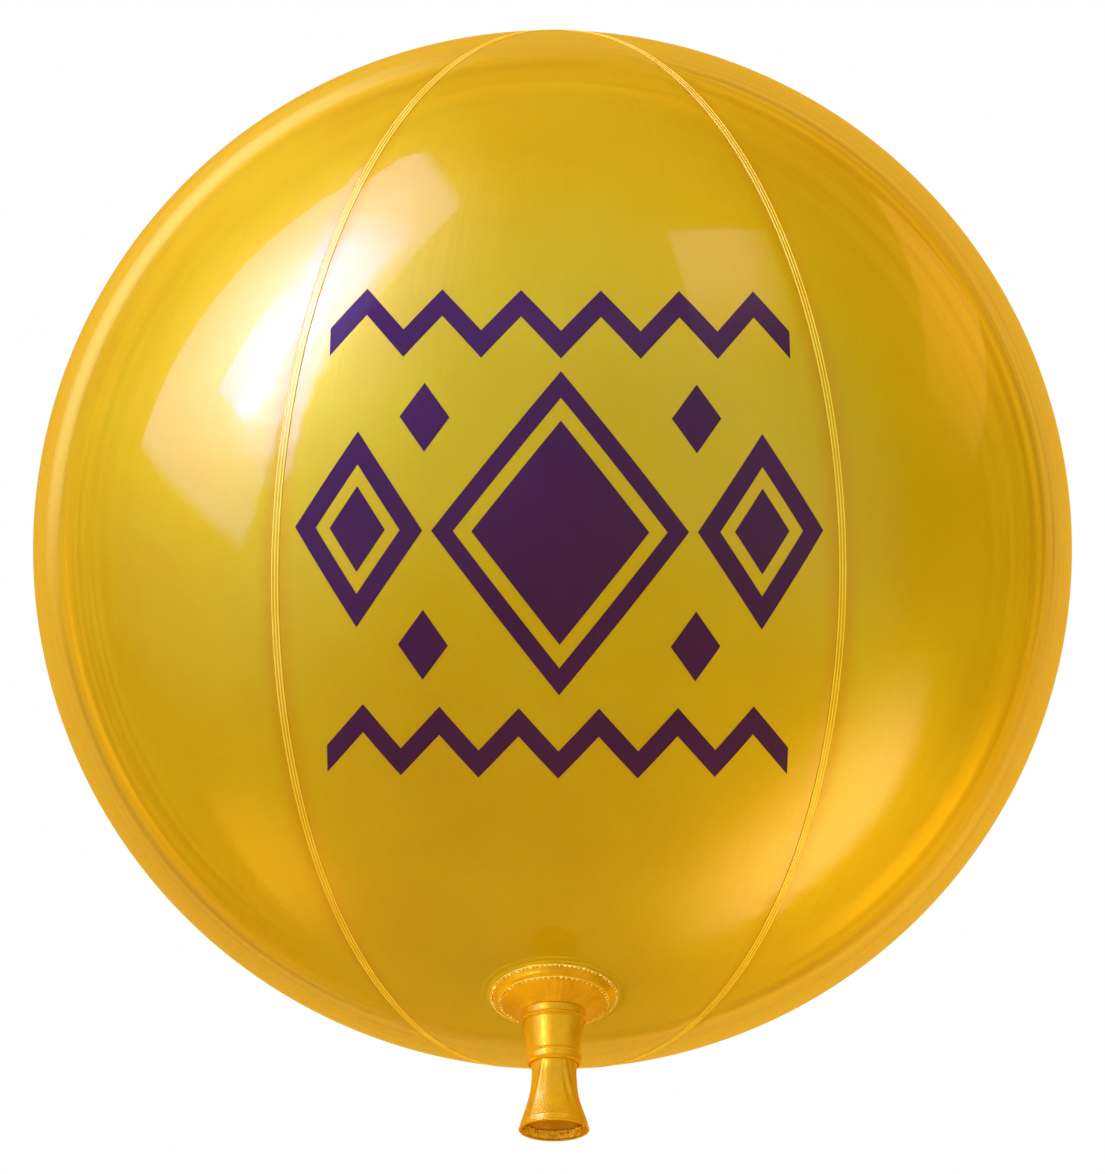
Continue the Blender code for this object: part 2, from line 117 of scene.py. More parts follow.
# The filling neck: radii, and distances along it from the film downwards
FLANGE_TILT = math.radians(10.6)
BEND_START = 0.005
BEND_END = 0.029
HOLE_RADIUS = 0.062
HOLE_EDGE_REACH = 1.6 * HOLE_RADIUS
PATCH_RADIUS = 0.120
HALO_RADIUS = 0.130
OUTER_WELD = 0.113
INNER_WELD = 0.097
NECK_SIDES = 224
RING_LINE_SIDES = 180
SLEEVE_WALL = 0.0015


def neck_frame(along):
    """Centre and tilt of the neck's ring at a distance below the film."""
    bend_radius = (BEND_END - BEND_START) / FLANGE_TILT
    turned = min(max(along - BEND_START, 0), BEND_END - BEND_START)
    tilt = FLANGE_TILT - turned / bend_radius
    axis = Vector((0, -math.sin(FLANGE_TILT), -math.cos(FLANGE_TILT)))
    centre = axis * (RADIUS + min(along, BEND_START))
    forward = math.cos(FLANGE_TILT) - math.cos(tilt)
    down = math.sin(tilt) - math.sin(FLANGE_TILT)
    centre += Vector((0, forward, down)) * bend_radius
    centre.z -= max(along - BEND_END, 0)
    return centre, tilt


def along_at(level):
    """Distance along the straight part of the neck to a height."""
    return BEND_END + neck_frame(BEND_END)[0].z - level


COLLAR_TOP = along_at(COLLAR_HIGH.z)
COLLAR_BOTTOM = along_at(COLLAR_LOW.z)
BAND_TOP = along_at(BAND_HIGH.z)
BAND_BOTTOM = along_at(BAND_LOW.z)
MOUTH = along_at(HEM_LOW.z)


# Node helpers; each value is a socket to link or a constant to write


def fill_sockets(node, values):
    """Fill a node's inputs, chosen by name or number; returns the node."""
    for label, value in values.items():
        if isinstance(value, bpy.types.NodeSocket):
            node.id_data.links.new(value, node.inputs[label])
        else:
            node.inputs[label].default_value = value
    return node


def add_node(tree, kind, values=None, **settings):
    """A new node with its settings written and its inputs filled."""
    node = tree.nodes.new(kind)
    for label, value in settings.items():
        setattr(node, label, value)
    return fill_sockets(node, values or {})


def add_math(tree, operation, first, second=0.5, clamp=False):
    """The result of a math node."""
    node = add_node(tree, "ShaderNodeMath", {0: first, 1: second}, operation=operation, use_clamp=clamp)
    return node.outputs[0]


def add_share(tree, first, second, share):
    """The given share of the first value and the rest of the second."""
    rest = add_math(tree, "MULTIPLY", second, 1 - share)
    return add_math(tree, "ADD", add_math(tree, "MULTIPLY", first, share), rest)


def add_vector(tree, operation, first, second=(0, 0, 0)):
    """The result of a vector math node."""
    node = add_node(tree, "ShaderNodeVectorMath", {0: first, 1: second}, operation=operation)
    return node.outputs["Value" if operation in ("DOT_PRODUCT", "LENGTH") else "Vector"]


def scale_vector(tree, vector, scale):
    """The vector times a number."""
    return add_node(tree, "ShaderNodeVectorMath", {0: vector, "Scale": scale}, operation="SCALE").outputs[0]


def add_noise(tree, vector, scale, detail=2.0, roughness=0.5, output="Fac"):
    """The value or colour of a noise texture on a vector."""
    values = {"Vector": vector, "Scale": scale, "Detail": detail, "Roughness": roughness}
    return add_node(tree, "ShaderNodeTexNoise", values).outputs[output]


def add_fade(tree, value, start, end, top=1.0):
    """A smooth step from 0 at the start to the top at the end."""
    values = {"Value": value, "From Min": start, "From Max": end, "To Max": top}
    return add_node(tree, "ShaderNodeMapRange", values, interpolation_type="SMOOTHSTEP").outputs[0]


def mix_colors(tree, factor, first, second):
    """A colour between two."""
    return add_node(tree, "ShaderNodeMix", {0: factor, 6: first, 7: second}, data_type="RGBA").outputs[2]


def split_vector(tree, vector):
    """The three parts of a vector."""
    return add_node(tree, "ShaderNodeSeparateXYZ", {0: vector}).outputs


def new_group(name, family, inputs, outputs):
    """An empty node group from (name, kind, default) sockets; returns it, its inputs and its last node."""
    group = bpy.data.node_groups.new(name, family + "NodeTree")
    for way, sockets in (("INPUT", inputs), ("OUTPUT", outputs)):
        for label, kind, *default in sockets:
            socket = group.interface.new_socket(name=label, in_out=way, socket_type="NodeSocket" + kind)
            if default:
                socket.default_value = default[0]
    return group, add_node(group, "NodeGroupInput").outputs, add_node(group, "NodeGroupOutput")


def new_material(name):
    """A material with its node tree and its shader."""
    material = bpy.data.materials.new(name)
    material.use_nodes = True
    return material, material.node_tree, material.node_tree.nodes["Principled BSDF"]


# Shading of the film

OWN_MAP = "own_map"
# The grain's colour: flecks among the clouds, and how soon and how fast the light colour takes over
FLECK_SCALE = 160.0
CLOUD_SHARE = 0.8
LIGHT_START = 0.36
LIGHT_GAIN = 3.4
ROUGHNESS_SWING = 0.12
BROAD_LINE_SCALE = 0.35
FINE_LINE_SCALE = 1.6
BROAD_LINE_SHARE = 0.7


def film_grain_group():
    """Fine pebble and cloudy colour of calendered PVC film, from a point on the surface."""
    inputs = (
        ("Point", "Vector"), ("Light Color", "Color"), ("Deep Color", "Color"), ("Pebble Scale", "Float"),
        ("Pebble Height", "Float", 0.25), ("Cloud Scale", "Float"),
    )
    outputs = (("Film Color", "Color"), ("Height", "Float"), ("Roughness Shift", "Float"))
    group, source, target = new_group("Film Grain", "Shader", inputs, outputs)
    cloud = add_noise(group, source["Point"], source["Cloud Scale"], detail=3.0, roughness=0.55)
    fleck = add_noise(group, source["Point"], FLECK_SCALE, roughness=0.6)
    cover = add_math(group, "SUBTRACT", add_share(group, cloud, fleck, CLOUD_SHARE), LIGHT_START)
    spread = add_math(group, "MULTIPLY", cover, LIGHT_GAIN, clamp=True)
    pebble = add_noise(group, source["Point"], source["Pebble Scale"], detail=1.0)
    swing = add_math(group, "SUBTRACT", cloud, 0.5)
    fill_sockets(target, {
        "Film Color": mix_colors(group, spread, source["Deep Color"], source["Light Color"]),
        "Height": add_math(group, "MULTIPLY", pebble, source["Pebble Height"]),
        "Roughness Shift": add_math(group, "MULTIPLY", swing, ROUGHNESS_SWING),
    })
    return group


def draw_lines_group():
    """Long faint lines that the film keeps from its drawing direction, on the gore's own map."""
    inputs = (("Map", "Vector"), ("Across Scale", "Float", 90.0), ("Along Scale", "Float", 1.2))
    group, source, target = new_group("Draw Lines", "Shader", inputs, (("Height", "Float"),))
    scale = add_node(group, "ShaderNodeCombineXYZ", {0: source["Across Scale"], 1: source["Along Scale"]})
    route = add_vector(group, "MULTIPLY", source["Map"], scale.outputs[0])
    broad = add_noise(group, route, BROAD_LINE_SCALE)
    fine = add_noise(group, route, FINE_LINE_SCALE, detail=3.0, roughness=0.6)
    fill_sockets(target, {"Height": add_share(group, broad, fine, BROAD_LINE_SHARE)})
    return group


FILM_GRAIN = film_grain_group()
DRAW_LINES = draw_lines_group()


# Materials


def film_finish(name, light, deep, roughness=0.42, pebble=900.0, clouds=14.0, bump=1.0, rise=0.0006,
                metallic=0.45, specular=0.14, tint=(1.0, 0.78, 0.10), coat=1.0, coat_roughness=0.03,
                coat_ior=1.4):
    """A glossy film, pearly unless told otherwise: grain for colour and roughness, pebble for bump."""
    material, tree, shader = new_material(name)
    material.diffuse_color = (*light, 1)
    grain = add_node(tree, "ShaderNodeGroup", {
        "Point": add_node(tree, "ShaderNodeTexCoord").outputs["Object"], "Light Color": (*light, 1),
        "Deep Color": (*deep, 1), "Pebble Scale": pebble, "Cloud Scale": clouds,
    }, node_tree=FILM_GRAIN, name="grain")
    relief = add_node(tree, "ShaderNodeBump", {
        "Strength": bump, "Distance": rise, "Height": grain.outputs["Height"],
    }, name="relief")
    fill_sockets(shader, {
        "Metallic": metallic, "IOR": 1.5, "Specular IOR Level": specular, "Specular Tint": (*tint, 1),
        "Coat Weight": coat, "Coat Roughness": coat_roughness, "Coat IOR": coat_ior,
        "Base Color": grain.outputs["Film Color"], "Normal": relief.outputs["Normal"],
        "Roughness": add_math(tree, "ADD", grain.outputs["Roughness Shift"], roughness),
    })
    return material


FILM_LOOK = {
    "light": (0.595, 0.435, 0.0075), "deep": (0.570, 0.380, 0.0045), "pebble": 260.0, "clouds": 3.0,
    "rise": 0.0008,
}
DRAW_LINE_STRENGTH = 0.35
DRAW_LINE_RISE = 0.0022
# Painted shade beside the seams: the film's colour deepens towards each seam over the reach
SEAM_SHADE = (0.56, 0.31, 0.003)
SEAM_SHADE_REACH = 0.050
SEAM_SHADE_SHARE = 0.8
PALE_TINT = (1.0, 0.97, 0.8)


def film_material():
    """Pearl-gold film of the gores, with faint draw lines along each and painted shade, a deeper colour,
    beside its seams.
    """
    material = film_finish("Gold Film", **FILM_LOOK)
    tree = material.node_tree
    own_map = add_node(tree, "ShaderNodeUVMap", uv_map=OWN_MAP).outputs["UV"]
    lines = add_node(tree, "ShaderNodeGroup", {"Map": own_map}, node_tree=DRAW_LINES).outputs["Height"]
    broad = add_node(tree, "ShaderNodeBump", {
        "Strength": DRAW_LINE_STRENGTH, "Distance": DRAW_LINE_RISE, "Height": lines})
    fill_sockets(tree.nodes["relief"], {"Normal": broad.outputs["Normal"]})
    # Painted shade: a deeper colour towards both edges of the gore's own map, where the seams are
    from_middle = add_math(tree, "SUBTRACT", add_math(tree, "FRACT", split_vector(tree, own_map)[0]), 0.5)
    middle_share = 0.5 - SEAM_SHADE_REACH / GORE_ANGLE
    shade = add_fade(tree, add_math(tree, "ABSOLUTE", from_middle), middle_share, 0.5, SEAM_SHADE_SHARE)
    color = mix_colors(tree, shade, tree.nodes["grain"].outputs["Film Color"], (*SEAM_SHADE, 1))
    fill_sockets(tree.nodes["Principled BSDF"], {"Base Color": color})
    return material


FILM = film_material()
# The film under the neck, without the gores' draw lines
PATCH = film_finish("Gold Patch", **FILM_LOOK)
# The same film where it is welded: pressed flat, denser and deeper in colour
WELD = film_finish(
    "Gold Weld", light=(0.62, 0.41, 0.006), deep=(0.56, 0.34, 0.004), roughness=0.36, bump=0.03,
    metallic=0.35, coat=0.9, coat_roughness=0.06)
# The weld's raised ridges, softly polished; their colour, far lighter than the film's, is a painted
# highlight
RIDGE = film_finish(
    "Ridge Painted Highlight", light=(1.0, 0.80, 0.10), deep=(1.0, 0.72, 0.05), bump=0.02, metallic=0.25,
    specular=0.5, tint=PALE_TINT, coat=0.35, coat_roughness=0.28, coat_ior=1.6)
# The pressed weld dots, glossy; their pale colour is a painted highlight
DOT = film_finish(
    "Dots Painted Highlight", light=(1.0, 0.93, 0.46), deep=(1.0, 0.83, 0.28), roughness=0.26, clouds=30.0, bump=0.10,
    metallic=0.10, tint=PALE_TINT, coat_ior=1.8)
# Thicker, deeper gold film of the neck, pebbled by its embossing
NECK = film_finish(
    "Gold Neck", light=(0.80, 0.415, 0.006), deep=(0.63, 0.305, 0.0035), roughness=0.32, pebble=340.0,
    rise=0.0018, metallic=0.40, specular=0.36, tint=(1.0, 0.88, 0.50), coat=0.28, coat_roughness=0.20)
# The crinkled film turned up inside the mouth; its colour, lighter than the neck film's, is a painted
# highlight
LINING = film_finish(
    "Gold Lining", light=(0.96, 0.53, 0.020), deep=(0.66, 0.32, 0.005), roughness=0.26, pebble=380.0,
    clouds=40.0, bump=0.5, metallic=0.40, coat_roughness=0.08)
# Dark purple screen ink under the film's gloss, a little uneven in its cover
INK = film_finish(
    "Purple Ink", light=(0.062, 0.008, 0.116), deep=(0.050, 0.006, 0.097), roughness=0.36, clouds=6.0,
    bump=0.15, metallic=0.0, specular=0.07, tint=(1, 1, 1), coat=0.5, coat_roughness=0.06, coat_ior=1.33)


# Mesh helpers


def link_object(name, data):
    """A new object in the scene."""
    obj = bpy.data.objects.new(name, data)
    bpy.context.scene.collection.objects.link(obj)
    return obj


def mesh_object(name, points, faces, material, uv=None, sharp=None):
    """An object from points and faces, shaded smooth but for edges past a sharp angle in degrees."""
    mesh = bpy.data.meshes.new(name)
    mesh.from_pydata([tuple(point) for point in points], [], faces)
    if uv is not None:
        layer = mesh.uv_layers.new(name=OWN_MAP)
        corners = np.empty(len(mesh.loops), dtype=np.int64)
        mesh.loops.foreach_get("vertex_index", corners)
        layer.data.foreach_set("uv", np.asarray(uv, dtype=np.float32)[corners].ravel())
    mesh.materials.append(material)
    mesh.shade_smooth()
    if sharp is not None:
        mesh.set_sharp_from_angle(angle=math.radians(sharp))
    mesh.update()
    return link_object(name, mesh)


def closed_object(name, points, faces, material, sharp=None):
    """An object from a closed mesh, with every face pointing outwards."""
    obj = mesh_object(name, points, faces, material, sharp=sharp)
    shape = bmesh.new()
    shape.from_mesh(obj.data)
    bmesh.ops.recalc_face_normals(shape, faces=shape.faces)
    shape.to_mesh(obj.data)
    shape.free()
    return obj


def row_faces(first, second, count, wrap=True):
    """Quads between two rows of points that start at the given numbers."""
    faces = []
    for column in range(count if wrap else count - 1):
        after = (column + 1) % count
        faces.append((first + column, first + after, second + after, second + column))
    return faces


def grid_faces(rows, columns, wrap=False, closed=False):
    """Quads of a grid of points, row by row, and from the last row to the first where it is closed."""
    faces = []
    for row in range(rows - 1):
        faces += row_faces(row * columns, (row + 1) * columns, columns, wrap)
    if closed:
        faces += row_faces((rows - 1) * columns, 0, columns, wrap)
    return faces


def film_points(latitude, longitude, lift=0.0):
    """Points on the inflated film, with its valleys and puckers along the seams."""
    half = GORE_ANGLE / 2
    gore = np.floor((longitude + half) / GORE_ANGLE)
    offset = longitude - gore * GORE_ANGLE
    from_seam = (half - np.abs(offset)) * np.cos(latitude) * RADIUS
    valley = VALLEY_DEPTH * np.exp(-(from_seam / VALLEY_REACH) ** 2)
    travel = latitude * RADIUS
    sway = PUCKER_SWAY * np.sin(PUCKER_SWAY_RATE * travel + PUCKER_GORE_SHIFT * gore + np.sign(offset))
    wave = np.sin(2 * math.pi * travel / PUCKER_PITCH + sway)
    near = np.exp(-from_seam / PUCKER_REACH) * (1 - np.exp(-(from_seam / PUCKER_START) ** 2))
    radius = RADIUS - valley + PUCKER_DEPTH * near * wave + lift
    across = np.cos(latitude) * radius
    parts = (
        (across * np.cos(longitude), FRONT_AXIS), (across * np.sin(longitude), SIDE_AXIS),
        (np.sin(latitude) * radius, POLE_AXIS),
    )
    return sum(part[..., None] * np.array(axis) for part, axis in parts)


# Gores


def make_gore(number):
    """One gore of the envelope as a thin closed film; the first has the neck's round hole."""
    half = GORE_ANGLE / 2
    share = (np.arange(GORE_HALF_COLUMNS + 1) / GORE_HALF_COLUMNS) ** EDGE_CROWDING
    left = -half + half * share
    columns = np.concatenate([left, -left[-2::-1]])
    end = math.acos(POLE_HOLE / RADIUS)
    rows = np.linspace(-end, end, GORE_ROWS + 1)
    latitude, offset = np.meshgrid(rows, columns, indexing="ij")
    points = film_points(latitude, offset * GORE_FILL + number * GORE_ANGLE).reshape(-1, 3)
    uv = np.stack([offset / GORE_ANGLE + 0.5 + number, latitude / math.pi + 0.5], axis=-1).reshape(-1, 2)
    gore = mesh_object(f"film_gore_{number + 1}", points, grid_faces(len(rows), len(columns)), FILM, uv)
    if number == 0:
        open_neck_hole(gore)
    wall = gore.modifiers.new("film", "SOLIDIFY")
    wall.thickness = FILM_THICKNESS
    wall.offset = -1
    return gore


def open_neck_hole(gore):
    """Cut the film back to a clean circle under the neck's patch."""
    axis = neck_frame(0)[0].normalized()
    shape = bmesh.new()
    shape.from_mesh(gore.data)

    def reach(point):
        return (point - axis * point.dot(axis)).length if point.dot(axis) > 0 else math.inf

    inside = [face for face in shape.faces if reach(face.calc_center_median()) < HOLE_RADIUS]
    bmesh.ops.delete(shape, geom=inside, context="FACES")
    for vertex in shape.verts:
        distance = reach(vertex.co)
        if vertex.is_boundary and distance < HOLE_EDGE_REACH:
            foot = axis * vertex.co.dot(axis)
            vertex.co = (foot + (vertex.co - foot) * HOLE_RADIUS / distance).normalized() * RADIUS
    shape.to_mesh(gore.data)
    shape.free()


# Weld strips


def seam_line(seam, side_offset=0.0, lift=0.0):
    """Points along a seam from the lower disc to the crown disc, set to one side of it."""
    end = math.acos((DISC_RADIUS + STRIP_END_GAP) / RADIUS)
    latitude = np.linspace(-end, end, STRIP_STEPS + 1)
    return film_points(latitude, seam + side_offset / (RADIUS * np.cos(latitude)), lift)


def line_tree(name, sizes):
    """An empty geometry node tree that works on a line, with inputs for its sizes and its material."""
    inputs = (("Geometry", "Geometry"), *sizes, ("Material", "Material"))
    return new_group(name, "Geometry", inputs, (("Geometry", "Geometry"),))


def end_tree(tree, geometry, source, target):
    """Shade the result smooth, realize its instances and set its material."""
    smooth = add_node(tree, "GeometryNodeSetShadeSmooth", {"Geometry": geometry})
    real = add_node(tree, "GeometryNodeRealizeInstances", {"Geometry": smooth.outputs[0]})
    paint = add_node(tree, "GeometryNodeSetMaterial", {
        "Geometry": real.outputs[0], "Material": source["Material"]})
    fill_sockets(target, {"Geometry": paint.outputs[0]})


def ridge_tree(name, places):
    """Geometry nodes: parallel weld ridges along a line, at places counted in spacings."""
    tree, source, target = line_tree(name, (
        ("Ridge Spacing", "Float", RIDGE_SPACING), ("Ridge Radius", "Float", RIDGE_RADIUS),
        ("Wobble", "Float", RIDGE_WOBBLE)))
    position = add_node(tree, "GeometryNodeInputPosition").outputs[0]
    tangent = add_node(tree, "GeometryNodeInputTangent").outputs[0]
    side = add_vector(tree, "NORMALIZE", add_vector(tree, "CROSS_PRODUCT", tangent, position))
    shake = add_noise(tree, position, WOBBLE_SCALE, output="Color")
    wobble = scale_vector(tree, add_vector(tree, "SUBTRACT", shake, (0.5, 0.5, 0.5)), source["Wobble"])
    join = add_node(tree, "GeometryNodeJoinGeometry")
    for place in places:
        shift = scale_vector(tree, side, add_math(tree, "MULTIPLY", source["Ridge Spacing"], place))
        move = add_node(tree, "GeometryNodeSetPosition", {
            "Geometry": source["Geometry"], "Offset": add_vector(tree, "ADD", shift, wobble)})
        fill_sockets(join, {"Geometry": move.outputs[0]})
    section = add_node(tree, "GeometryNodeCurvePrimitiveCircle", {
        "Resolution": RIDGE_SIDES, "Radius": source["Ridge Radius"]})
    sweep = add_node(tree, "GeometryNodeCurveToMesh", {
        "Curve": join.outputs[0], "Profile Curve": section.outputs[0], "Fill Caps": True})
    end_tree(tree, sweep.outputs[0], source, target)
    return tree


def add_random(tree, least, most, seed):
    """A random vector for each point."""
    values = {"Min": least, "Max": most, "Seed": seed}
    return add_node(tree, "FunctionNodeRandomValue", values, data_type="FLOAT_VECTOR").outputs["Value"]


def dash_tree():
    """Geometry nodes: short raised weld dashes spaced along a line, uneven in size."""
    tree, source, target = line_tree("Weld Dashes", (
        ("Pitch", "Float", 0.0085), ("Dash Length", "Float", 0.0050), ("Dash Width", "Float", 0.0022),
        ("Dash Height", "Float", 0.0013), ("Unevenness", "Float", 0.35), ("Turn", "Float", 0.0),
        ("Stray", "Float", 0.0), ("Seed", "Int", 3)))
    route = {"Curve": source["Geometry"], "Length": source["Pitch"]}
    places = add_node(tree, "GeometryNodeResampleCurve", route, mode="LENGTH")
    ball = add_node(tree, "GeometryNodeMeshIcoSphere", {"Radius": 0.5, "Subdivisions": 2})
    size = add_node(tree, "ShaderNodeCombineXYZ", {
        0: source["Dash Length"], 1: source["Dash Width"], 2: source["Dash Height"]})
    dash = add_node(tree, "GeometryNodeTransform", {"Geometry": ball.outputs[0], "Scale": size.outputs[0]})
    tangent = add_node(tree, "GeometryNodeInputTangent").outputs[0]
    along = add_node(tree, "FunctionNodeAlignRotationToVector", {"Vector": tangent}, axis="X")
    least = add_math(tree, "SUBTRACT", 1.0, source["Unevenness"])
    most = add_math(tree, "ADD", 1.0, source["Unevenness"])
    vary = add_random(tree, least, most, source["Seed"])
    stray = add_random(tree, (-1.0, -1.0, -0.2), (1.0, 1.0, 0.2), source["Seed"])
    shaken = add_node(tree, "GeometryNodeSetPosition", {
        "Geometry": places.outputs[0], "Offset": scale_vector(tree, stray, source["Stray"])})
    swing = add_math(tree, "MULTIPLY", split_vector(tree, stray)[1], source["Turn"])
    twist = add_node(tree, "FunctionNodeAxisAngleToRotation", {"Axis": (0.0, 0.0, 1.0), "Angle": swing})
    turned = add_node(tree, "FunctionNodeRotateRotation", {
        "Rotation": along.outputs[0], "Rotate By": twist.outputs[0]}, rotation_space="LOCAL")
    put = add_node(tree, "GeometryNodeInstanceOnPoints", {
        "Points": shaken.outputs[0], "Instance": dash.outputs[0], "Rotation": turned.outputs[0],
        "Scale": vary})
    end_tree(tree, put.outputs[0], source, target)
    return tree


RIDGE_TREE = ridge_tree("Seam Ridges", (-1.0, 0.0, 1.0))
EDGE_TREE = ridge_tree("Ring Edges", (-0.5, 0.5))
DASH_TREE = dash_tree()


def line_object(name, points, closed=False):
    """A bare curve through points, for the node trees to work on."""
    data = bpy.data.curves.new(name, "CURVE")
    data.dimensions = "3D"
    spline = data.splines.new("POLY")
    spline.points.add(len(points) - 1)
    for target, point in zip(spline.points, points):
        target.co = (*point, 1)
    spline.use_cyclic_u = closed
    return link_object(name, data)


def run_tree(obj, tree, values, name):
    """Run a geometry node tree on an object and keep its result as a plain mesh."""
    modifier = obj.modifiers.new("nodes", "NODES")
    modifier.node_group = tree
    for item in tree.interface.items_tree:
        if item.item_type == "SOCKET" and item.in_out == "INPUT" and item.name in values:
            modifier[item.identifier] = values[item.name]
    bpy.context.view_layer.update()
    evaluated = obj.evaluated_get(bpy.context.evaluated_depsgraph_get())
    mesh = bpy.data.meshes.new_from_object(evaluated)
    mesh.name = name
    obj.modifiers.remove(modifier)
    bpy.data.objects.remove(obj, do_unlink=True)
    return mesh


def join_meshes(name, parts):
    """One object from (mesh, material) pairs."""
    materials = list(dict.fromkeys(material for _, material in parts))
    shape = bmesh.new()
    for part, material in parts:
        done = len(shape.faces)
        shape.from_mesh(part)
        shape.faces.ensure_lookup_table()
        for face in shape.faces[done:]:
            face.material_index = materials.index(material)
            face.smooth = True
    mesh = bpy.data.meshes.new(name)
    shape.to_mesh(mesh)
    shape.free()
    for material in materials:
        mesh.materials.append(material)
    return link_object(name, mesh)


def add_bright_parts(name, plate, bright):
    """A welded plate and its raised parts, lightened as a painted highlight, as one object."""
    piece = join_meshes(name, [(plate.data, WELD), (bright, RIDGE)])
    bpy.data.objects.remove(plate, do_unlink=True)
    return piece


def make_weld_strip(number):
    """A flat weld band in the seam's valley with three raised ridges."""
    seam = (number + 0.5) * GORE_ANGLE
    rows = [seam_line(seam, STRIP_HALF_WIDTH * across, STRIP_HEIGHT * up) for across, up in STRIP_SECTION]
    points = np.stack(rows, axis=1).reshape(-1, 3)
    around = len(STRIP_SECTION)
    faces = grid_faces(STRIP_STEPS + 1, around, wrap=True)
    faces.append(tuple(range(around)))
    faces.append(tuple(range(STRIP_STEPS * around, (STRIP_STEPS + 1) * around)))
    band = closed_object(f"band_{number + 1}", points, faces, WELD)
    line = line_object(f"line_{number + 1}", seam_line(seam, 0.0, -RIDGE_SINK))
    ridges = run_tree(line, RIDGE_TREE, {"Material": RIDGE}, "ridges")
    return add_bright_parts(f"welded_seam_{number + 1}", band, ridges)


# Turned pieces


def curve_through(points, steps=8):
    """A smooth open curve through (radius, along) points."""
    ends = [points[0], *points, points[-1]]
    result = []
    for corners in zip(ends, ends[1:], ends[2:], ends[3:]):
        for step in range(steps):
            t = step / steps
            place = []
            for a, b, c, d in zip(*corners):
                square = (2 * a - 5 * b + 4 * c - d) * t ** 2
                cube = (3 * b - a - 3 * c + d) * t ** 3
                place.append(0.5 * (2 * b + (c - a) * t + square + cube))
            result.append(tuple(place))
    result.append(points[-1])
    return result


def round_angles(sides):
    """Evenly spaced angles round the neck or a disc; angle 0 faces the front."""
    return np.linspace(0, 2 * math.pi, sides, endpoint=False)


def ring_points(angle, reach, along):
    """Points round the neck at a reach from its middle."""
    centre, tilt = neck_frame(along)
    front = np.array((0, -math.cos(tilt), math.sin(tilt)))
    flat = (reach * np.sin(angle))[:, None] * np.array(SIDE_AXIS) + (reach * np.cos(angle))[:, None] * front
    return flat + np.array(centre)


def turned_points(outline, relief=None, sides=NECK_SIDES):
    """Rings of points round the neck for an outline of (radius, along), moved by a relief in metres."""
    angle = round_angles(sides)
    rings = []
    for radius, along in outline:
        reach = radius + (relief(angle, along) if relief else 0.0)
        rings.append(ring_points(angle, reach, along))
    return np.concatenate(rings)


def turned_piece(name, outline, material, relief=None):
    """A ring-shaped piece round the neck from a closed outline."""
    points = turned_points(outline, relief)
    faces = grid_faces(len(outline), NECK_SIDES, wrap=True, closed=True)
    return closed_object(name, points, faces, material, sharp=70)


def on_film(*places):
    """Outline points from (radius, height above the film), which curves away from the flange's centre."""
    return [(radius, lift - (RADIUS - math.sqrt(RADIUS ** 2 - radius ** 2))) for radius, lift in places]


def inner_side(outer):
    """The inner side of a sleeve's wall, from its end back to its start."""
    return [(radius - SLEEVE_WALL, along) for radius, along in reversed(outer)]


def wrinkle(angle, along, seed, around, down):
    """Smooth noise round the neck, from -1 to 1."""
    places = [Vector((math.sin(a) * around, math.cos(a) * around, along * down + seed)) for a in angle]
    return np.array([noise.noise(place) for place in places])


def soft_relief(depth, seed, around=3.0, down=40.0):
    """A relief of gentle dents for film that isn't under tension."""
    def relief(angle, along):
        return depth * wrinkle(angle, along, seed, around, down)
    return relief


def share_between(value, start, end):
    """How far a value is from start to end, from 0 to 1."""
    return min(max((value - start) / (end - start), 0), 1)


def make_neck_patch():
    """The reinforcing patch with a faint halo pressed into the film round it."""
    top = on_film(
        (HALO_RADIUS + 0.0050, 0.00010), (HALO_RADIUS + 0.0018, 0.00045), (HALO_RADIUS, 0.00110),
        (HALO_RADIUS - 0.0020, 0.00050), (HALO_RADIUS - 0.0050, 0.00035), (PATCH_RADIUS + 0.0015, 0.00050),
        (PATCH_RADIUS, 0.00120), (PATCH_RADIUS - 0.0012, 0.00250), (PATCH_RADIUS - 0.0035, 0.00280),
        (0.110, 0.00250), (0.095, 0.00250), (0.078, 0.00250), (HOLE_RADIUS, 0.00250))
    reaches = (HOLE_RADIUS, 0.080, 0.100, PATCH_RADIUS, HALO_RADIUS + 0.0049)
    under = on_film(*((radius, 0.00005) for radius in reaches))
    dents = soft_relief(0.0005, seed=4.0, around=6.0, down=20.0)
    return turned_piece("neck_patch_film", curve_through(top, steps=4) + under, PATCH, dents)


PLEAT_COUNT = 34
PLEAT_DEPTH = 0.00035
SKIRT_DENT_DEPTH = 0.0006


def make_neck_skirt():
    """The flared skirt: padded ring between two welds, then a pleated cone up to the collar."""
    pad = on_film(
        (0.1165, 0.0029), (0.1157, 0.0045), (OUTER_WELD, 0.0044), (0.1103, 0.0072), (0.1060, 0.0125),
        (0.1010, 0.0148), (INNER_WELD, 0.0145), (0.0943, 0.0162))
    cone = [(0.087, 0.0148), (0.077, 0.0186), (0.068, 0.0228), (0.0620, 0.0262), (0.0588, BEND_END)]
    inside = [(0.0573, BEND_END), (0.0600, 0.0230), (0.0725, 0.0115), (0.0865, 0.0035)]
    foot = on_film((0.0900, 0.0029), (0.1050, 0.0029))

    def relief(angle, along):
        pleat = PLEAT_DEPTH * np.sin(PLEAT_COUNT * angle + 3 * np.sin(5 * angle))
        dent = SKIRT_DENT_DEPTH * wrinkle(angle, along, seed=9.0, around=5.0, down=30.0)
        below_pad = share_between(along, -0.002, 0.008)
        above_collar = share_between(along, BEND_END, BEND_END - 0.006)
        return (pleat + dent) * below_pad * above_collar

    return turned_piece("neck_skirt_film", curve_through(pad + cone, steps=5) + inside + foot, NECK, relief)


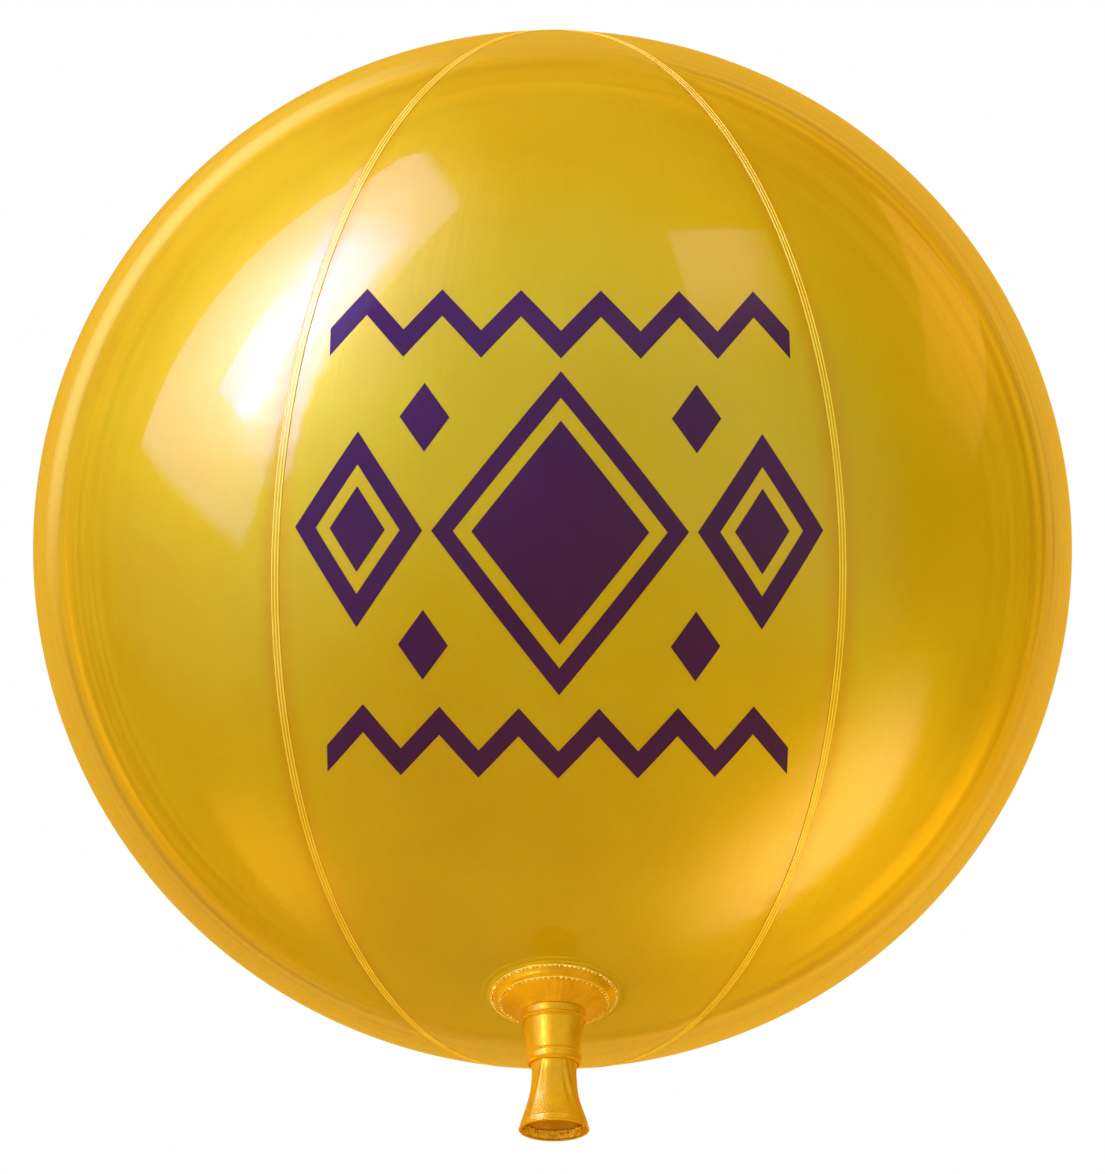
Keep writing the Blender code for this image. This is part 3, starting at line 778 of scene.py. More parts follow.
def make_collar():
    """The upper collar: a smooth band that ends in a ridge and a thin lip."""
    top, bottom = COLLAR_TOP, COLLAR_BOTTOM
    outer = [
        (0.0584, top + 0.0002), (0.0589, top + 0.0015), (0.0586, top + 0.006), (0.0583, bottom - 0.0085),
        (0.0590, bottom - 0.0068), (0.0603, bottom - 0.0052), (0.0590, bottom - 0.0036),
        (0.0580, bottom - 0.0026), (0.0589, bottom - 0.0012), (0.0578, bottom),
    ]
    inner = [(0.0562, bottom), (0.0562, top)]
    outline = curve_through(outer, steps=5) + inner
    return turned_piece("collar_film", outline, NECK, soft_relief(0.0005, seed=2.0))


# Folds of the sleeve: angle from the front and width in radians, and 1 for outwards or -1 for inwards
SLEEVE_FOLDS = ((1.05, 0.10, 1), (4.9, 0.12, -1))
SLEEVE_FOLD_DEPTH = 0.0006
SLEEVE_DENT_DEPTH = 0.0010


def make_sleeve():
    """The tapered sleeve, slightly slack between the collar and the band."""
    outer = curve_through([
        (0.0560, COLLAR_TOP - 0.004), (0.0560, COLLAR_BOTTOM - 0.001), (0.0549, COLLAR_BOTTOM + 0.002),
        (0.0539, COLLAR_BOTTOM + 0.012), (0.0518, COLLAR_BOTTOM + 0.026), (0.0496, COLLAR_BOTTOM + 0.042),
        (0.0482, BAND_TOP - 0.002), (0.0472, BAND_TOP + 0.001), (0.0470, BAND_TOP + 0.010),
    ], steps=7)

    def relief(angle, along):
        slack = math.sin(math.pi * share_between(along, COLLAR_BOTTOM, BAND_TOP))
        fold = sum(way * np.exp(-((angle - middle) / width) ** 2) for middle, width, way in SLEEVE_FOLDS)
        dent = SLEEVE_DENT_DEPTH * wrinkle(angle, along, seed=5.0, around=2.4, down=22.0)
        return slack * (dent + SLEEVE_FOLD_DEPTH * fold)

    return turned_piece("sleeve_film", outer + inner_side(outer), NECK, relief)


def make_band():
    """The lower band with a rolled ridge along each edge and a lip down to the tail."""
    top, bottom = BAND_TOP, BAND_BOTTOM
    outer = [
        (0.0478, top + 0.0002), (0.0490, top + 0.0010), (0.0503, top + 0.0025), (0.0491, top + 0.0042),
        (0.0485, top + 0.0062), (0.0487, top + 0.0110), (0.0485, bottom - 0.0072),
        (0.0489, bottom - 0.0055), (0.0500, bottom - 0.0038), (0.0488, bottom - 0.0022),
        (0.0478, bottom - 0.0010), (0.0466, bottom),
    ]
    inner = [
        (0.0450, bottom + 0.0004), (0.0434, bottom - 0.0004), (0.0434, bottom - 0.011),
        (0.0474, bottom - 0.012), (0.0474, top),
    ]
    outline = curve_through(outer, steps=5) + inner
    return turned_piece("band_film", outline, NECK, soft_relief(0.0006, seed=7.0))


# Folds of the tail: angle from the front at the waist and at the mouth and width, in degrees, and depth
TAIL_FOLDS = (
    (-31, -52, 6.5, 0.0023), (-46, -78, 6.0, -0.0012), (28, 60, 5.5, 0.0016), (20, 44, 4.0, -0.0009),
    (37, 71, 4.0, -0.0011), (46, 82, 4.5, 0.0011), (58, 98, 5.0, -0.0009), (118, 128, 8.0, 0.0016),
    (150, 152, 6.0, -0.0012), (-120, -118, 8.0, 0.0015), (-158, -150, 7.0, -0.0012),
    (178, 178, 9.0, 0.0010),
)
TAIL_DENT_DEPTH = 0.0012
# The tail's hollow front: angle of its middle, width at the waist, growth of its width, and depth
HOLLOW_MIDDLE = 4
HOLLOW_WIDTH = 16
HOLLOW_GROWTH = 20
HOLLOW_DEPTH = 0.0022
TAIL_END = MOUTH - 0.0045
TAIL_CURVE = curve_through([
    (0.0430, BAND_BOTTOM - 0.010), (0.0430, BAND_BOTTOM - 0.001), (0.0413, BAND_BOTTOM + 0.006),
    (0.0405, BAND_BOTTOM + 0.017), (0.0412, MOUTH - 0.094), (0.0430, MOUTH - 0.076),
    (0.0462, MOUTH - 0.060), (0.0508, MOUTH - 0.043), (0.0560, MOUTH - 0.027), (0.0596, MOUTH - 0.0165),
    (0.0604, MOUTH - 0.0145), (0.0606, MOUTH - 0.0125), (0.0622, TAIL_END),
])
RIM_RADIUS = 0.0024
RIM_INSET = 0.0003
RIM_STEPS = 16
FACING_END = MOUTH - 0.004
FACING_HEIGHT = 0.015
FACING_LEVELS = 12
FACING_GAPS = (0.0002, 0.0010)
FACING_WAVE = 0.0022
CRINKLE_DEPTH = 0.0006
FREE_CRINKLE_DEPTH = 0.0030
FREE_SAG = 0.0014


def tail_relief(angle, along):
    """Long folds that start at the waist and open towards the mouth, and the hollow front between them."""
    share = share_between(along, BAND_BOTTOM, TAIL_END)
    degrees = (np.degrees(angle) + 180) % 360 - 180
    strength = math.sin(math.pi * share ** 0.85) ** 0.8
    total = TAIL_DENT_DEPTH * wrinkle(angle, along, seed=3.0, around=1.6, down=14.0)
    for start, end, width, depth in TAIL_FOLDS:
        middle = start + (end - start) * share
        away = (degrees - middle + 180) % 360 - 180
        total = total + depth * np.exp(-(away / (width * (0.8 + share))) ** 2)
    hollow = np.exp(-((degrees - HOLLOW_MIDDLE) / (HOLLOW_WIDTH + HOLLOW_GROWTH * share)) ** 2)
    return strength * (total - HOLLOW_DEPTH * hollow)


def make_tail():
    """The soft tail, which flares from the band to the mouth."""
    return turned_piece("tail_film", TAIL_CURVE + inner_side(TAIL_CURVE), NECK, tail_relief)


def make_hem():
    """The rolled rim of the mouth, slightly uneven."""
    centre_radius = MOUTH_RADIUS - RIM_RADIUS - RIM_INSET
    outline = []
    for step in range(RIM_STEPS):
        turn = 2 * math.pi * step / RIM_STEPS
        outline.append((centre_radius + RIM_RADIUS * math.cos(turn),
                        MOUTH - RIM_RADIUS - RIM_RADIUS * math.sin(turn)))
    return turned_piece("rim_film", outline, NECK, soft_relief(0.0006, seed=11.0, around=4.0, down=0.0))


def crinkle(angle, along):
    """Sharp crinkles of the facing, strongest at its free edge."""
    free = share_between(along, FACING_END, FACING_END - FACING_HEIGHT)
    fine = wrinkle(angle, along, seed=6.0, around=16.0, down=90.0)
    broad = wrinkle(angle, along, seed=8.0, around=5.0, down=60.0)
    return -np.abs(fine) * (CRINKLE_DEPTH + FREE_CRINKLE_DEPTH * free) - FREE_SAG * free * (0.5 + broad)


def make_facing():
    """The hem's edge turned up inside the tail, crinkled, with a wavy free edge."""
    sides = NECK_SIDES * 2
    angle = round_angles(sides)
    free_edge = FACING_WAVE * wrinkle(angle, 0.0, seed=15.0, around=7.0, down=0.0)
    radii, lengths = zip(*TAIL_CURVE)

    def layer(gap):
        rings = []
        for level in np.linspace(0, 1, FACING_LEVELS):
            along = FACING_END - level * FACING_HEIGHT
            wall = float(np.interp(along, lengths, radii)) - SLEEVE_WALL - gap
            ring = ring_points(angle, wall + (tail_relief(angle, along) + crinkle(angle, along)), along)
            ring[:, 2] += free_edge * level
            rings.append(ring)
        return rings

    outer, inner = (layer(gap) for gap in FACING_GAPS)
    rings = outer + inner[::-1]
    faces = grid_faces(len(rings), sides, wrap=True, closed=True)
    return closed_object("facing_film", np.concatenate(rings), faces, LINING)


# The skirt's weld rows: name, radius, height above the film, and the sizes of the dashes
WELD_ROWS = (
    ("outer_row", OUTER_WELD, 0.0050, {
        "Pitch": 0.0092, "Dash Length": 0.0074, "Dash Width": 0.0040, "Dash Height": 0.0036,
        "Unevenness": 0.6, "Turn": 1.3, "Stray": 0.0014, "Seed": 3}),
    ("inner_row", INNER_WELD, 0.0152, {
        "Pitch": 0.0108, "Dash Length": 0.0066, "Dash Width": 0.0034, "Dash Height": 0.0032,
        "Unevenness": 0.6, "Turn": 1.1, "Stray": 0.0010, "Seed": 8}),
)
ROW_EDGES = {"Ridge Spacing": 0.0066, "Ridge Radius": 0.00085, "Wobble": 0.0026}
ROW_EDGE_DROP = 0.0003


def make_weld_rows():
    """The skirt's two rings of uneven weld dashes, each between two thin raised edges."""
    def run_on_ring(name, radius, lift, tree, values, material):
        points = turned_points(on_film((radius, lift)), sides=RING_LINE_SIDES)
        line = line_object(name + "_line", points, closed=True)
        return run_tree(line, tree, dict(values, Material=material), name), material

    parts = []
    for name, radius, lift, dashes in WELD_ROWS:
        # The dots take a finish whose pale colour is a painted highlight
        parts.append(run_on_ring(name, radius, lift, DASH_TREE, dashes, DOT))
        # The row's edges take the ridges' finish, whose lighter colour is a painted highlight
        parts.append(run_on_ring(name + "_edges", radius, lift - ROW_EDGE_DROP, EDGE_TREE, ROW_EDGES, RIDGE))
    return join_meshes("skirt_weld_rows", parts)


def make_pole_disc(name, direction):
    """A round reinforcement with raised rings and a row of weld dashes near its edge."""
    top = (
        (DISC_RADIUS, 0.0001), (DISC_RADIUS - 0.0006, 0.0006), (DISC_RADIUS - 0.0025, 0.0009),
        (DISC_RADIUS - 0.0045, 0.0005), (DISC_RADIUS - 0.0065, 0.0009), (DISC_RADIUS - 0.0085, 0.0005),
        (0.026, 0.0005), (0.016, 0.0005), (0.008, 0.0005), (0.003, 0.0005),
    )
    under = ((0.012, -0.0001), (DISC_RADIUS - 0.0002, -0.0001))
    angle = round_angles(DISC_SIDES)
    across = np.cos(angle)[:, None] * np.array(FRONT_AXIS) + np.sin(angle)[:, None] * np.array(SIDE_AXIS)
    axis = np.array(POLE_AXIS) * direction

    def ring(radius, lift):
        return across * radius + axis * (math.sqrt(RADIUS ** 2 - radius ** 2) + lift)

    points = np.concatenate([ring(*place) for place in top + under])
    inner = len(top) * DISC_SIDES
    outer = inner + DISC_SIDES
    faces = grid_faces(len(top), DISC_SIDES, wrap=True)
    faces.append(tuple(range(inner - DISC_SIDES, inner)))
    faces += row_faces(inner, outer, DISC_SIDES)
    faces.append(tuple(range(inner, outer)))
    faces += row_faces(0, outer, DISC_SIDES)
    disc = closed_object(name + "_plate", points, faces, WELD, sharp=60)
    line = line_object(name + "_line", ring(DISC_RADIUS - DISC_ROW_INSET, 0.0006), closed=True)
    # The disc's dashes take the ridges' finish, whose lighter colour is a painted highlight
    dashes = run_tree(line, DASH_TREE, {"Material": RIDGE, "Seed": 5, "Pitch": 0.0075}, name + "_dashes")
    return add_bright_parts(name, disc, dashes)


# Print on the front gore

PRINT_MIDDLE = 0.09
PRINT_STEP = 0.010
PRINT_LIFT = 0.00025
INK_THICKNESS = 0.00030
ZIGZAG_TEETH = 6
ZIGZAG_HALF_LENGTH = 0.42
ZIGZAG_RISE = 0.080
ZIGZAG_WIDTH = 0.052
LOZENGES = (
    # node, across, above the middle, half width, half height, hollow share
    ("print_core", 0, 0, 0.155, 0.196, 0),
    ("print_frame", 0, 0, 0.226, 0.286, 0.83),
    ("print_left_frame", -0.362, 0, 0.120, 0.172, 0.66),
    ("print_right_frame", 0.362, 0, 0.120, 0.172, 0.66),
    ("print_left_core", -0.362, 0, 0.052, 0.075, 0),
    ("print_right_core", 0.362, 0, 0.052, 0.075, 0),
    ("print_upper_left", -0.240, 0.200, 0.045, 0.062, 0),
    ("print_upper_right", 0.240, 0.200, 0.045, 0.062, 0),
    ("print_lower_left", -0.240, -0.200, 0.045, 0.062, 0),
    ("print_lower_right", 0.240, -0.200, 0.045, 0.062, 0),
)
ZIGZAGS = (("print_zigzag_upper", 0.376), ("print_zigzag_lower", -0.376))


def lozenge_cells(centre, half_width, half_height, hollow):
    """Cells of a lozenge, from its outer edge in to a hollow of the given share of its size."""
    steps = max(1, math.ceil(math.hypot(half_width, half_height) / PRINT_STEP))
    rings = max(1, math.ceil((1 - hollow) * half_width / PRINT_STEP))
    tips = ((1, 0), (0, 1), (-1, 0), (0, -1))

    def place(ring, side, step):
        size = 1 - (1 - hollow) * ring / rings
        (x0, y0), (x1, y1) = tips[side], tips[(side + 1) % 4]
        share = step / steps
        across = centre[0] + size * half_width * (x0 + (x1 - x0) * share)
        up = centre[1] + size * half_height * (y0 + (y1 - y0) * share)
        return across, up

    cells = []
    for ring in range(rings):
        for side in range(4):
            for step in range(steps):
                cells.append((place(ring, side, step), place(ring, side, step + 1),
                              place(ring + 1, side, step + 1), place(ring + 1, side, step)))
    return cells


def zigzag_cells(middle):
    """Cells of a zigzag stripe across the gore."""
    pitch = 2 * ZIGZAG_HALF_LENGTH / ZIGZAG_TEETH
    turns = []
    for turn in range(2 * ZIGZAG_TEETH + 1):
        rise = ZIGZAG_RISE / 2 if turn % 2 else -ZIGZAG_RISE / 2
        turns.append((-ZIGZAG_HALF_LENGTH + turn * pitch / 2, middle + rise))
    steps = max(1, math.ceil(math.hypot(pitch / 2, ZIGZAG_RISE) / PRINT_STEP))
    route = []
    for (x0, y0), (x1, y1) in zip(turns, turns[1:]):
        for step in range(steps):
            route.append((x0 + (x1 - x0) * step / steps, y0 + (y1 - y0) * step / steps))
    route.append(turns[-1])
    layers = math.ceil(ZIGZAG_WIDTH / PRINT_STEP)
    heights = [ZIGZAG_WIDTH * (k / layers - 0.5) for k in range(layers + 1)]
    cells = []
    for (x0, y0), (x1, y1) in zip(route, route[1:]):
        for low, high in zip(heights, heights[1:]):
            cells.append(((x0, y0 + low), (x1, y1 + low), (x1, y1 + high), (x0, y0 + high)))
    return cells


def make_print(node, cells):
    """One printed shape as a thin layer of ink that follows the film."""
    numbers = {}
    tops = []
    edges = {}
    for cell in cells:
        ids = []
        for across, up in cell:
            number = numbers.setdefault((round(across, 5), round(up, 5)), (len(numbers), across, up))[0]
            if number not in ids:
                ids.append(number)
        tops.append(tuple(ids))
        for pair in zip(ids, ids[1:] + ids[:1]):
            edges.setdefault(frozenset(pair), []).append(pair)
    spots = np.array([(across, up) for _, across, up in numbers.values()])
    latitude = spots[:, 1] / RADIUS
    longitude = spots[:, 0] / (RADIUS * np.cos(latitude))
    layers = [film_points(latitude, longitude, PRINT_LIFT + height) for height in (INK_THICKNESS, 0)]
    count = len(spots)
    faces = list(tops)
    faces.extend(tuple(index + count for index in reversed(face)) for face in tops)
    for uses in edges.values():
        if len(uses) == 1:
            first, second = uses[0]
            faces.append((second, first, first + count, second + count))
    return closed_object(node.replace("print", "ink"), np.concatenate(layers), faces, INK, sharp=50)


# Build the object


def settle(piece, material_slot, *nodes):
    """Give a finished piece its body and its slot, and hide the CAD nodes it stands for."""
    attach(piece, "root")
    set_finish(piece, material_slot)
    if nodes:
        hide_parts(*nodes)


def build_object():
    """Make every piece in place of its CAD node."""
    for number in range(GORE_COUNT):
        gore = make_gore(number)
        settle(gore, "film", f"gore_{number + 1}")
        settle(make_weld_strip(number), "weld", f"weld_strip_{number + 1}")
    settle(make_pole_disc("crown_patch", 1), "weld", "crown_disc")
    settle(make_pole_disc("base_patch", -1), "weld", "base_disc")
    settle(make_neck_patch(), "neck", "neck_patch")
    settle(make_neck_skirt(), "neck", "neck_skirt")
    settle(make_weld_rows(), "weld")
    settle(make_collar(), "neck", "upper_collar")
    settle(make_sleeve(), "neck", "neck_sleeve")
    settle(make_band(), "neck", "lower_band")
    settle(make_tail(), "neck", "neck_tail")
    settle(make_hem(), "neck", "mouth_hem")
    settle(make_facing(), "lining", "hem_facing")
    for node, across, up, half_width, half_height, hollow in LOZENGES:
        cells = lozenge_cells((across, PRINT_MIDDLE + up), half_width, half_height, hollow)
        settle(make_print(node, cells), "ink", node)
    for node, up in ZIGZAGS:
        settle(make_print(node, zigzag_cells(PRINT_MIDDLE + up)), "ink", node)


build_object()


def spot(azimuth, elevation, distance):
    """A place seen from the balloon's centre, in degrees; azimuth 0 is the front and 90 the right."""
    a, e = math.radians(azimuth), math.radians(elevation)
    return Vector((math.sin(a) * math.cos(e), -math.cos(a) * math.cos(e), math.sin(e))) * distance


# Camera, at floor level and looking up; sizes in pixels are the photograph's

VIEW_AZIMUTH = -0.85
VIEW_ELEVATION = -24.9
VIEW_DISTANCE = 9.5
FRAME_HEIGHT = 1174
SPHERE_PIXELS = 519.5
FOCAL_PIXELS = SPHERE_PIXELS * math.sqrt(VIEW_DISTANCE ** 2 - RADIUS ** 2) / RADIUS
CENTRE_ABOVE_MIDDLE = 37
SENSOR_WIDTH = 36


def make_camera():
    """A long lens below the balloon, aimed a little under its centre."""
    toward = spot(VIEW_AZIMUTH, VIEW_ELEVATION, 1)
    data = bpy.data.cameras.new("camera")
    data.sensor_width = SENSOR_WIDTH
    data.lens = FOCAL_PIXELS / FRAME_HEIGHT * SENSOR_WIDTH
    data.clip_end = 100
    camera = link_object("camera", data)
    camera.location = toward * VIEW_DISTANCE
    up = (-toward).to_track_quat("-Z", "Y") @ Vector((0, 1, 0))
    drop = CENTRE_ABOVE_MIDDLE / FOCAL_PIXELS * VIEW_DISTANCE
    camera.rotation_mode = "QUATERNION"
    camera.rotation_quaternion = (-toward * VIEW_DISTANCE - up * drop).to_track_quat("-Z", "Y")
    bpy.context.scene.camera = camera


# Soft boxes: corners as (azimuth, elevation) from the upper left clockwise, then the middles of the right
# and left edges where these are bent; distance, colour, strength, and how softly the left, right, upper and
# lower edges fade
KEY_CORNERS = ((-39, 62), (-20, 47), (-65, -13), (-89, 14), (-39, 18), (-70, 42))
HALO_CORNERS = ((-66, 72), (1, 43), (-56, -24), (-99, 17), (-24, 5), (-77, 45))
VEIL_CORNERS = ((-101, 21), (-23, -18), (-38, -55), (-108, -19))
INNER_CORNERS = ((-55, 35), (-36, 28), (-60, 7), (-68, 16))
WASH_CORNERS = ((-51, 49), (-25, 42), (-53, -8), (-69, 6))
CORE_CORNERS = ((-52, 29), (-38, 36), (-57, 5), (-65, 10))
WINDOW_CORNERS = ((23, 41), (53, 44), (49, 21), (26, 8))
CRESCENT_CORNERS = ((100, 54), (109, 36), (88, 11), (74, 17))
LOW_CORNERS = ((68, -24), (88, -14), (152, -61), (108, -78), (113, -33), (72, -50))
GLOW_CORNERS = ((-107, -27), (-84, -37), (-120, -64), (-144, -40))
PANELS = (
    ("key_halo", HALO_CORNERS, 4.24, (0.02, 0.02, 1.0), 3.4, (0.5, 0.5, 0.5, 0.5)),
    ("left_veil", VEIL_CORNERS, 4.30, (0.76, 0.70, 1.0), 0.27, (0.35, 0.5, 0.35, 0.5)),
    ("key_panel", KEY_CORNERS, 4.20, (0.46, 0.46, 1.0), 3.6, (0.03, 0.07, 0.05, 0.04)),
    ("key_glow", KEY_CORNERS, 4.18, (0.18, 0.10, 1.0), 7.4, (0.5, 0.5, 0.5, 0.5)),
    ("key_inner", INNER_CORNERS, 4.10, (0.20, 0.12, 1.0), 10.0, (0.05, 0.35, 0.60, 0.08)),
    ("key_wash", WASH_CORNERS, 4.07, (0.10, 0.24, 1.0), 13.0, (0.5, 0.18, 0.3, 0.35)),
    ("key_core", CORE_CORNERS, 4.05, (0.16, 0.20, 1.0), 22.0, (0.4, 0.5, 0.5, 0.3)),
    ("window_panel", WINDOW_CORNERS, 4.60, (1.0, 0.66, 0.92), 1.66, (0.05, 0.50, 0.06, 0.70)),
    ("crescent_panel", CRESCENT_CORNERS, 4.00, (1.0, 0.42, 0.10), 1.0, (0.06, 0.05, 0.03, 0.20)),
    ("low_panel", LOW_CORNERS, 3.90, (0.95, 0.71, 0.43), 3.4, (0.65, 0.22, 0.42, 0.38)),
    ("left_glow", GLOW_CORNERS, 3.90, (1.0, 0.62, 0.05), 1.5, (0.15, 0.5, 0.4, 0.4)),
)
# The neck's own soft boxes, one to its left and in front of it and one below it: middle, the way from it to
# the middle of the right edge and of the upper edge, colour, strength and softness
NECK_LIGHTS = (
    ("neck_left", (-1.30, -1.75, -1.00), (0.26, -0.22, 0.0), (0.0, 0.0, 0.65), (1.0, 0.95, 1.00), 15.0,
     (0.5, 0.5, 0.3, 0.3)),
    ("neck_below", (0.0, -0.9, -3.2), (0.9, 0.0, 0.0), (0.0, -0.7, 0.0), (1.0, 0.80, 0.30), 1.1,
     (0.5, 0.5, 0.3, 0.3)),
)
# Curved strips of light round the backdrop: from and to an angle round it, inner and outer angle from its
# middle, distance, colour, strength and softness of the start, end, inner and outer edges
ARCS = (
    ("upper_left_strip", 95, 190, 40, 53, 5.0, (0.88, 0.90, 0.55), 0.95, (0.35, 0.35, 0.45, 0.12)),
    ("lower_right_strip", -66, -12, 61, 72, 5.0, (1.0, 0.42, 0.01), 2.1, (0.45, 0.45, 0.30, 0.40)),
    ("left_strip", 165, 235, 54.5, 58, 5.1, (1.0, 0.35, 0.01), 1.2, (0.40, 0.40, 0.30, 0.30)),
)
PANEL_STEPS = 16
PRINT_SPARING = ("key_halo", "key_inner", "key_wash", "key_core", "left_veil")
NECK_PIECES = ("neck", "lining", "skirt_weld_rows")
# The studio's backdrop: azimuth and elevation of its middle
BACKDROP = (180, 24)


def light_group(name, chosen, state):
    """A collection that includes or excludes pieces, chosen by name or slot, from a soft box."""
    group = bpy.data.collections.new(name)
    for piece in bpy.context.scene.objects:
        if piece.name in chosen or piece.get("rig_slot") in chosen:
            group.objects.link(piece)
    for member in group.collection_objects:
        member.light_linking.link_state = state
    return group


def bent_panel(corners, distance):
    """Places on a four-sided panel with bent sides, all at one distance."""
    points = [spot(azimuth, elevation, distance) for azimuth, elevation in corners]
    if len(points) == 4:
        points += [(points[1] + points[2]) / 2, (points[0] + points[3]) / 2]

    def place(u, v):
        top = points[0].lerp(points[1], u)
        bottom = points[3].lerp(points[2], u)
        bend = points[5].lerp(points[4], u) - (top + bottom) / 2
        return (top.lerp(bottom, v) + bend * 4 * v * (1 - v)).normalized() * distance

    return place


def flat_panel(middle, right, up):
    """Places on a flat panel."""
    def place(u, v):
        return Vector(middle) + Vector(right) * (2 * u - 1) + Vector(up) * (1 - 2 * v)

    return place


def arc_panel(start, end, inner, outer, distance):
    """Places on a strip round the backdrop's middle; angle 0 round it is to the right and 90 upwards."""
    middle = spot(*BACKDROP, 1)
    upward = SIDE_AXIS.cross(middle)

    def place(u, v):
        around = math.radians(start + (end - start) * u)
        turn = math.radians(inner + (outer - inner) * v)
        outward = SIDE_AXIS * math.cos(around) + upward * math.sin(around)
        return (middle * math.cos(turn) + outward * math.sin(turn)) * distance

    return place


def panel_material(name, color, strength, softness):
    """A finish that only adds light: bright inside the panel and faded at its edges."""
    material, tree, shader = new_material(name)
    tree.nodes.remove(shader)
    parts = split_vector(tree, add_node(tree, "ShaderNodeUVMap", uv_map=OWN_MAP).outputs[0])
    left, right, top, bottom = softness
    total = strength
    for axis, edge, soft in ((0, 0.0, left), (0, 1.0, right), (1, 0.0, top), (1, 1.0, bottom)):
        total = add_math(tree, "MULTIPLY", add_fade(tree, parts[axis], edge, abs(edge - soft)), total)
    glow = add_node(tree, "ShaderNodeEmission", {"Color": (*color, 1), "Strength": total})
    clear = add_node(tree, "ShaderNodeBsdfTransparent")
    both = add_node(tree, "ShaderNodeAddShader", {0: glow.outputs[0], 1: clear.outputs[0]})
    fill_sockets(tree.nodes["Material Output"], {"Surface": both.outputs[0]})
    return material


def make_panel(name, place, color, strength, softness, group=None):
    """A soft box from a function that places each (u, v); it lights what its group lets it."""
    material = panel_material(name, color, strength, softness)
    shares = [step / PANEL_STEPS for step in range(PANEL_STEPS + 1)]
    uv = [(u, v) for v in shares for u in shares]
    faces = grid_faces(len(shares), len(shares))
    panel = mesh_object(name, [place(u, v) for u, v in uv], faces, material, uv)
    panel.visible_camera = False
    panel.light_linking.receiver_collection = group


def make_panels():
    """All the soft boxes: some spare the print, one spares the neck, and the neck's own light only it."""
    neck_only = light_group("neck_only", NECK_PIECES, "INCLUDE")
    groups = {"low_panel": light_group("neck_spared", NECK_PIECES, "EXCLUDE")}
    groups.update(dict.fromkeys(PRINT_SPARING, light_group("print_spared", ("ink",), "EXCLUDE")))
    for name, corners, distance, *look in PANELS:
        make_panel(name, bent_panel(corners, distance), *look, groups.get(name))
    for name, middle, right, up, *look in NECK_LIGHTS:
        make_panel(name, flat_panel(middle, right, up), *look, neck_only)
    for name, start, end, inner, outer, distance, *look in ARCS:
        make_panel(name, arc_panel(start, end, inner, outer, distance), *look)


# The studio's own light: by angle from the middle of the backdrop, a colour and the share of the height
# light that is added there, and by height
BACKDROP_RINGS = (
    (0, (0.75, 0.42, 0.03), 0), (14, (0.85, 0.46, 0.04), 0), (24, (0.95, 0.52, 0.05), 0),
    (33, (1.00, 0.58, 0.08), 0), (38, (0.98, 0.57, 0.09), 0), (46, (0.55, 0.24, 0.01), 0.3),
    (53, (0.45, 0.20, 0.00), 0.6), (66, (0.06, 0.04, 0.00), 1), (95, (0.06, 0.08, 0.02), 1),
    (130, (0.32, 0.64, 0.74), 1), (180, (0.09, 0.22, 0.25), 1),
)
HEIGHT_LIGHT = (
    (-1.0, (1.00, 1.00, 0.06), 1), (0.0, (0.52, 0.315, 0.01), 1), (0.45, (0.56, 0.425, 0.03), 1),
    (1.0, (0.93, 0.51, 0.03), 1),
)
STREAK_PITCH = 18.0
STREAK_COLOR = (3.7, 1.95, 0.06)
STREAK_FADES = ((86, 60), (26, 42))
FLOOR_LEVEL = -4.06
FLOOR_REACH = 16.0
FLOOR_SIDES = 96
FLOOR_FADE = (3.0, FLOOR_REACH - 1.0)
FLOOR_BOUNCE = (0.79, 0.77, 0.19, 1)
FLOOR_COLOR = (0.68, 0.88, 0.92, 1)


def add_ramp(tree, value, stops):
    """A colour ramp from (position, colour, share) stops; returns its colour and its share."""
    ramp = add_node(tree, "ShaderNodeValToRGB", {0: value})
    elements = ramp.color_ramp.elements
    while len(elements) < len(stops):
        elements.new(0.5)
    for element, (position, color, share) in zip(elements, stops):
        element.position = position
        element.color = (*color, share)
    return ramp.outputs["Color"], ramp.outputs["Alpha"]


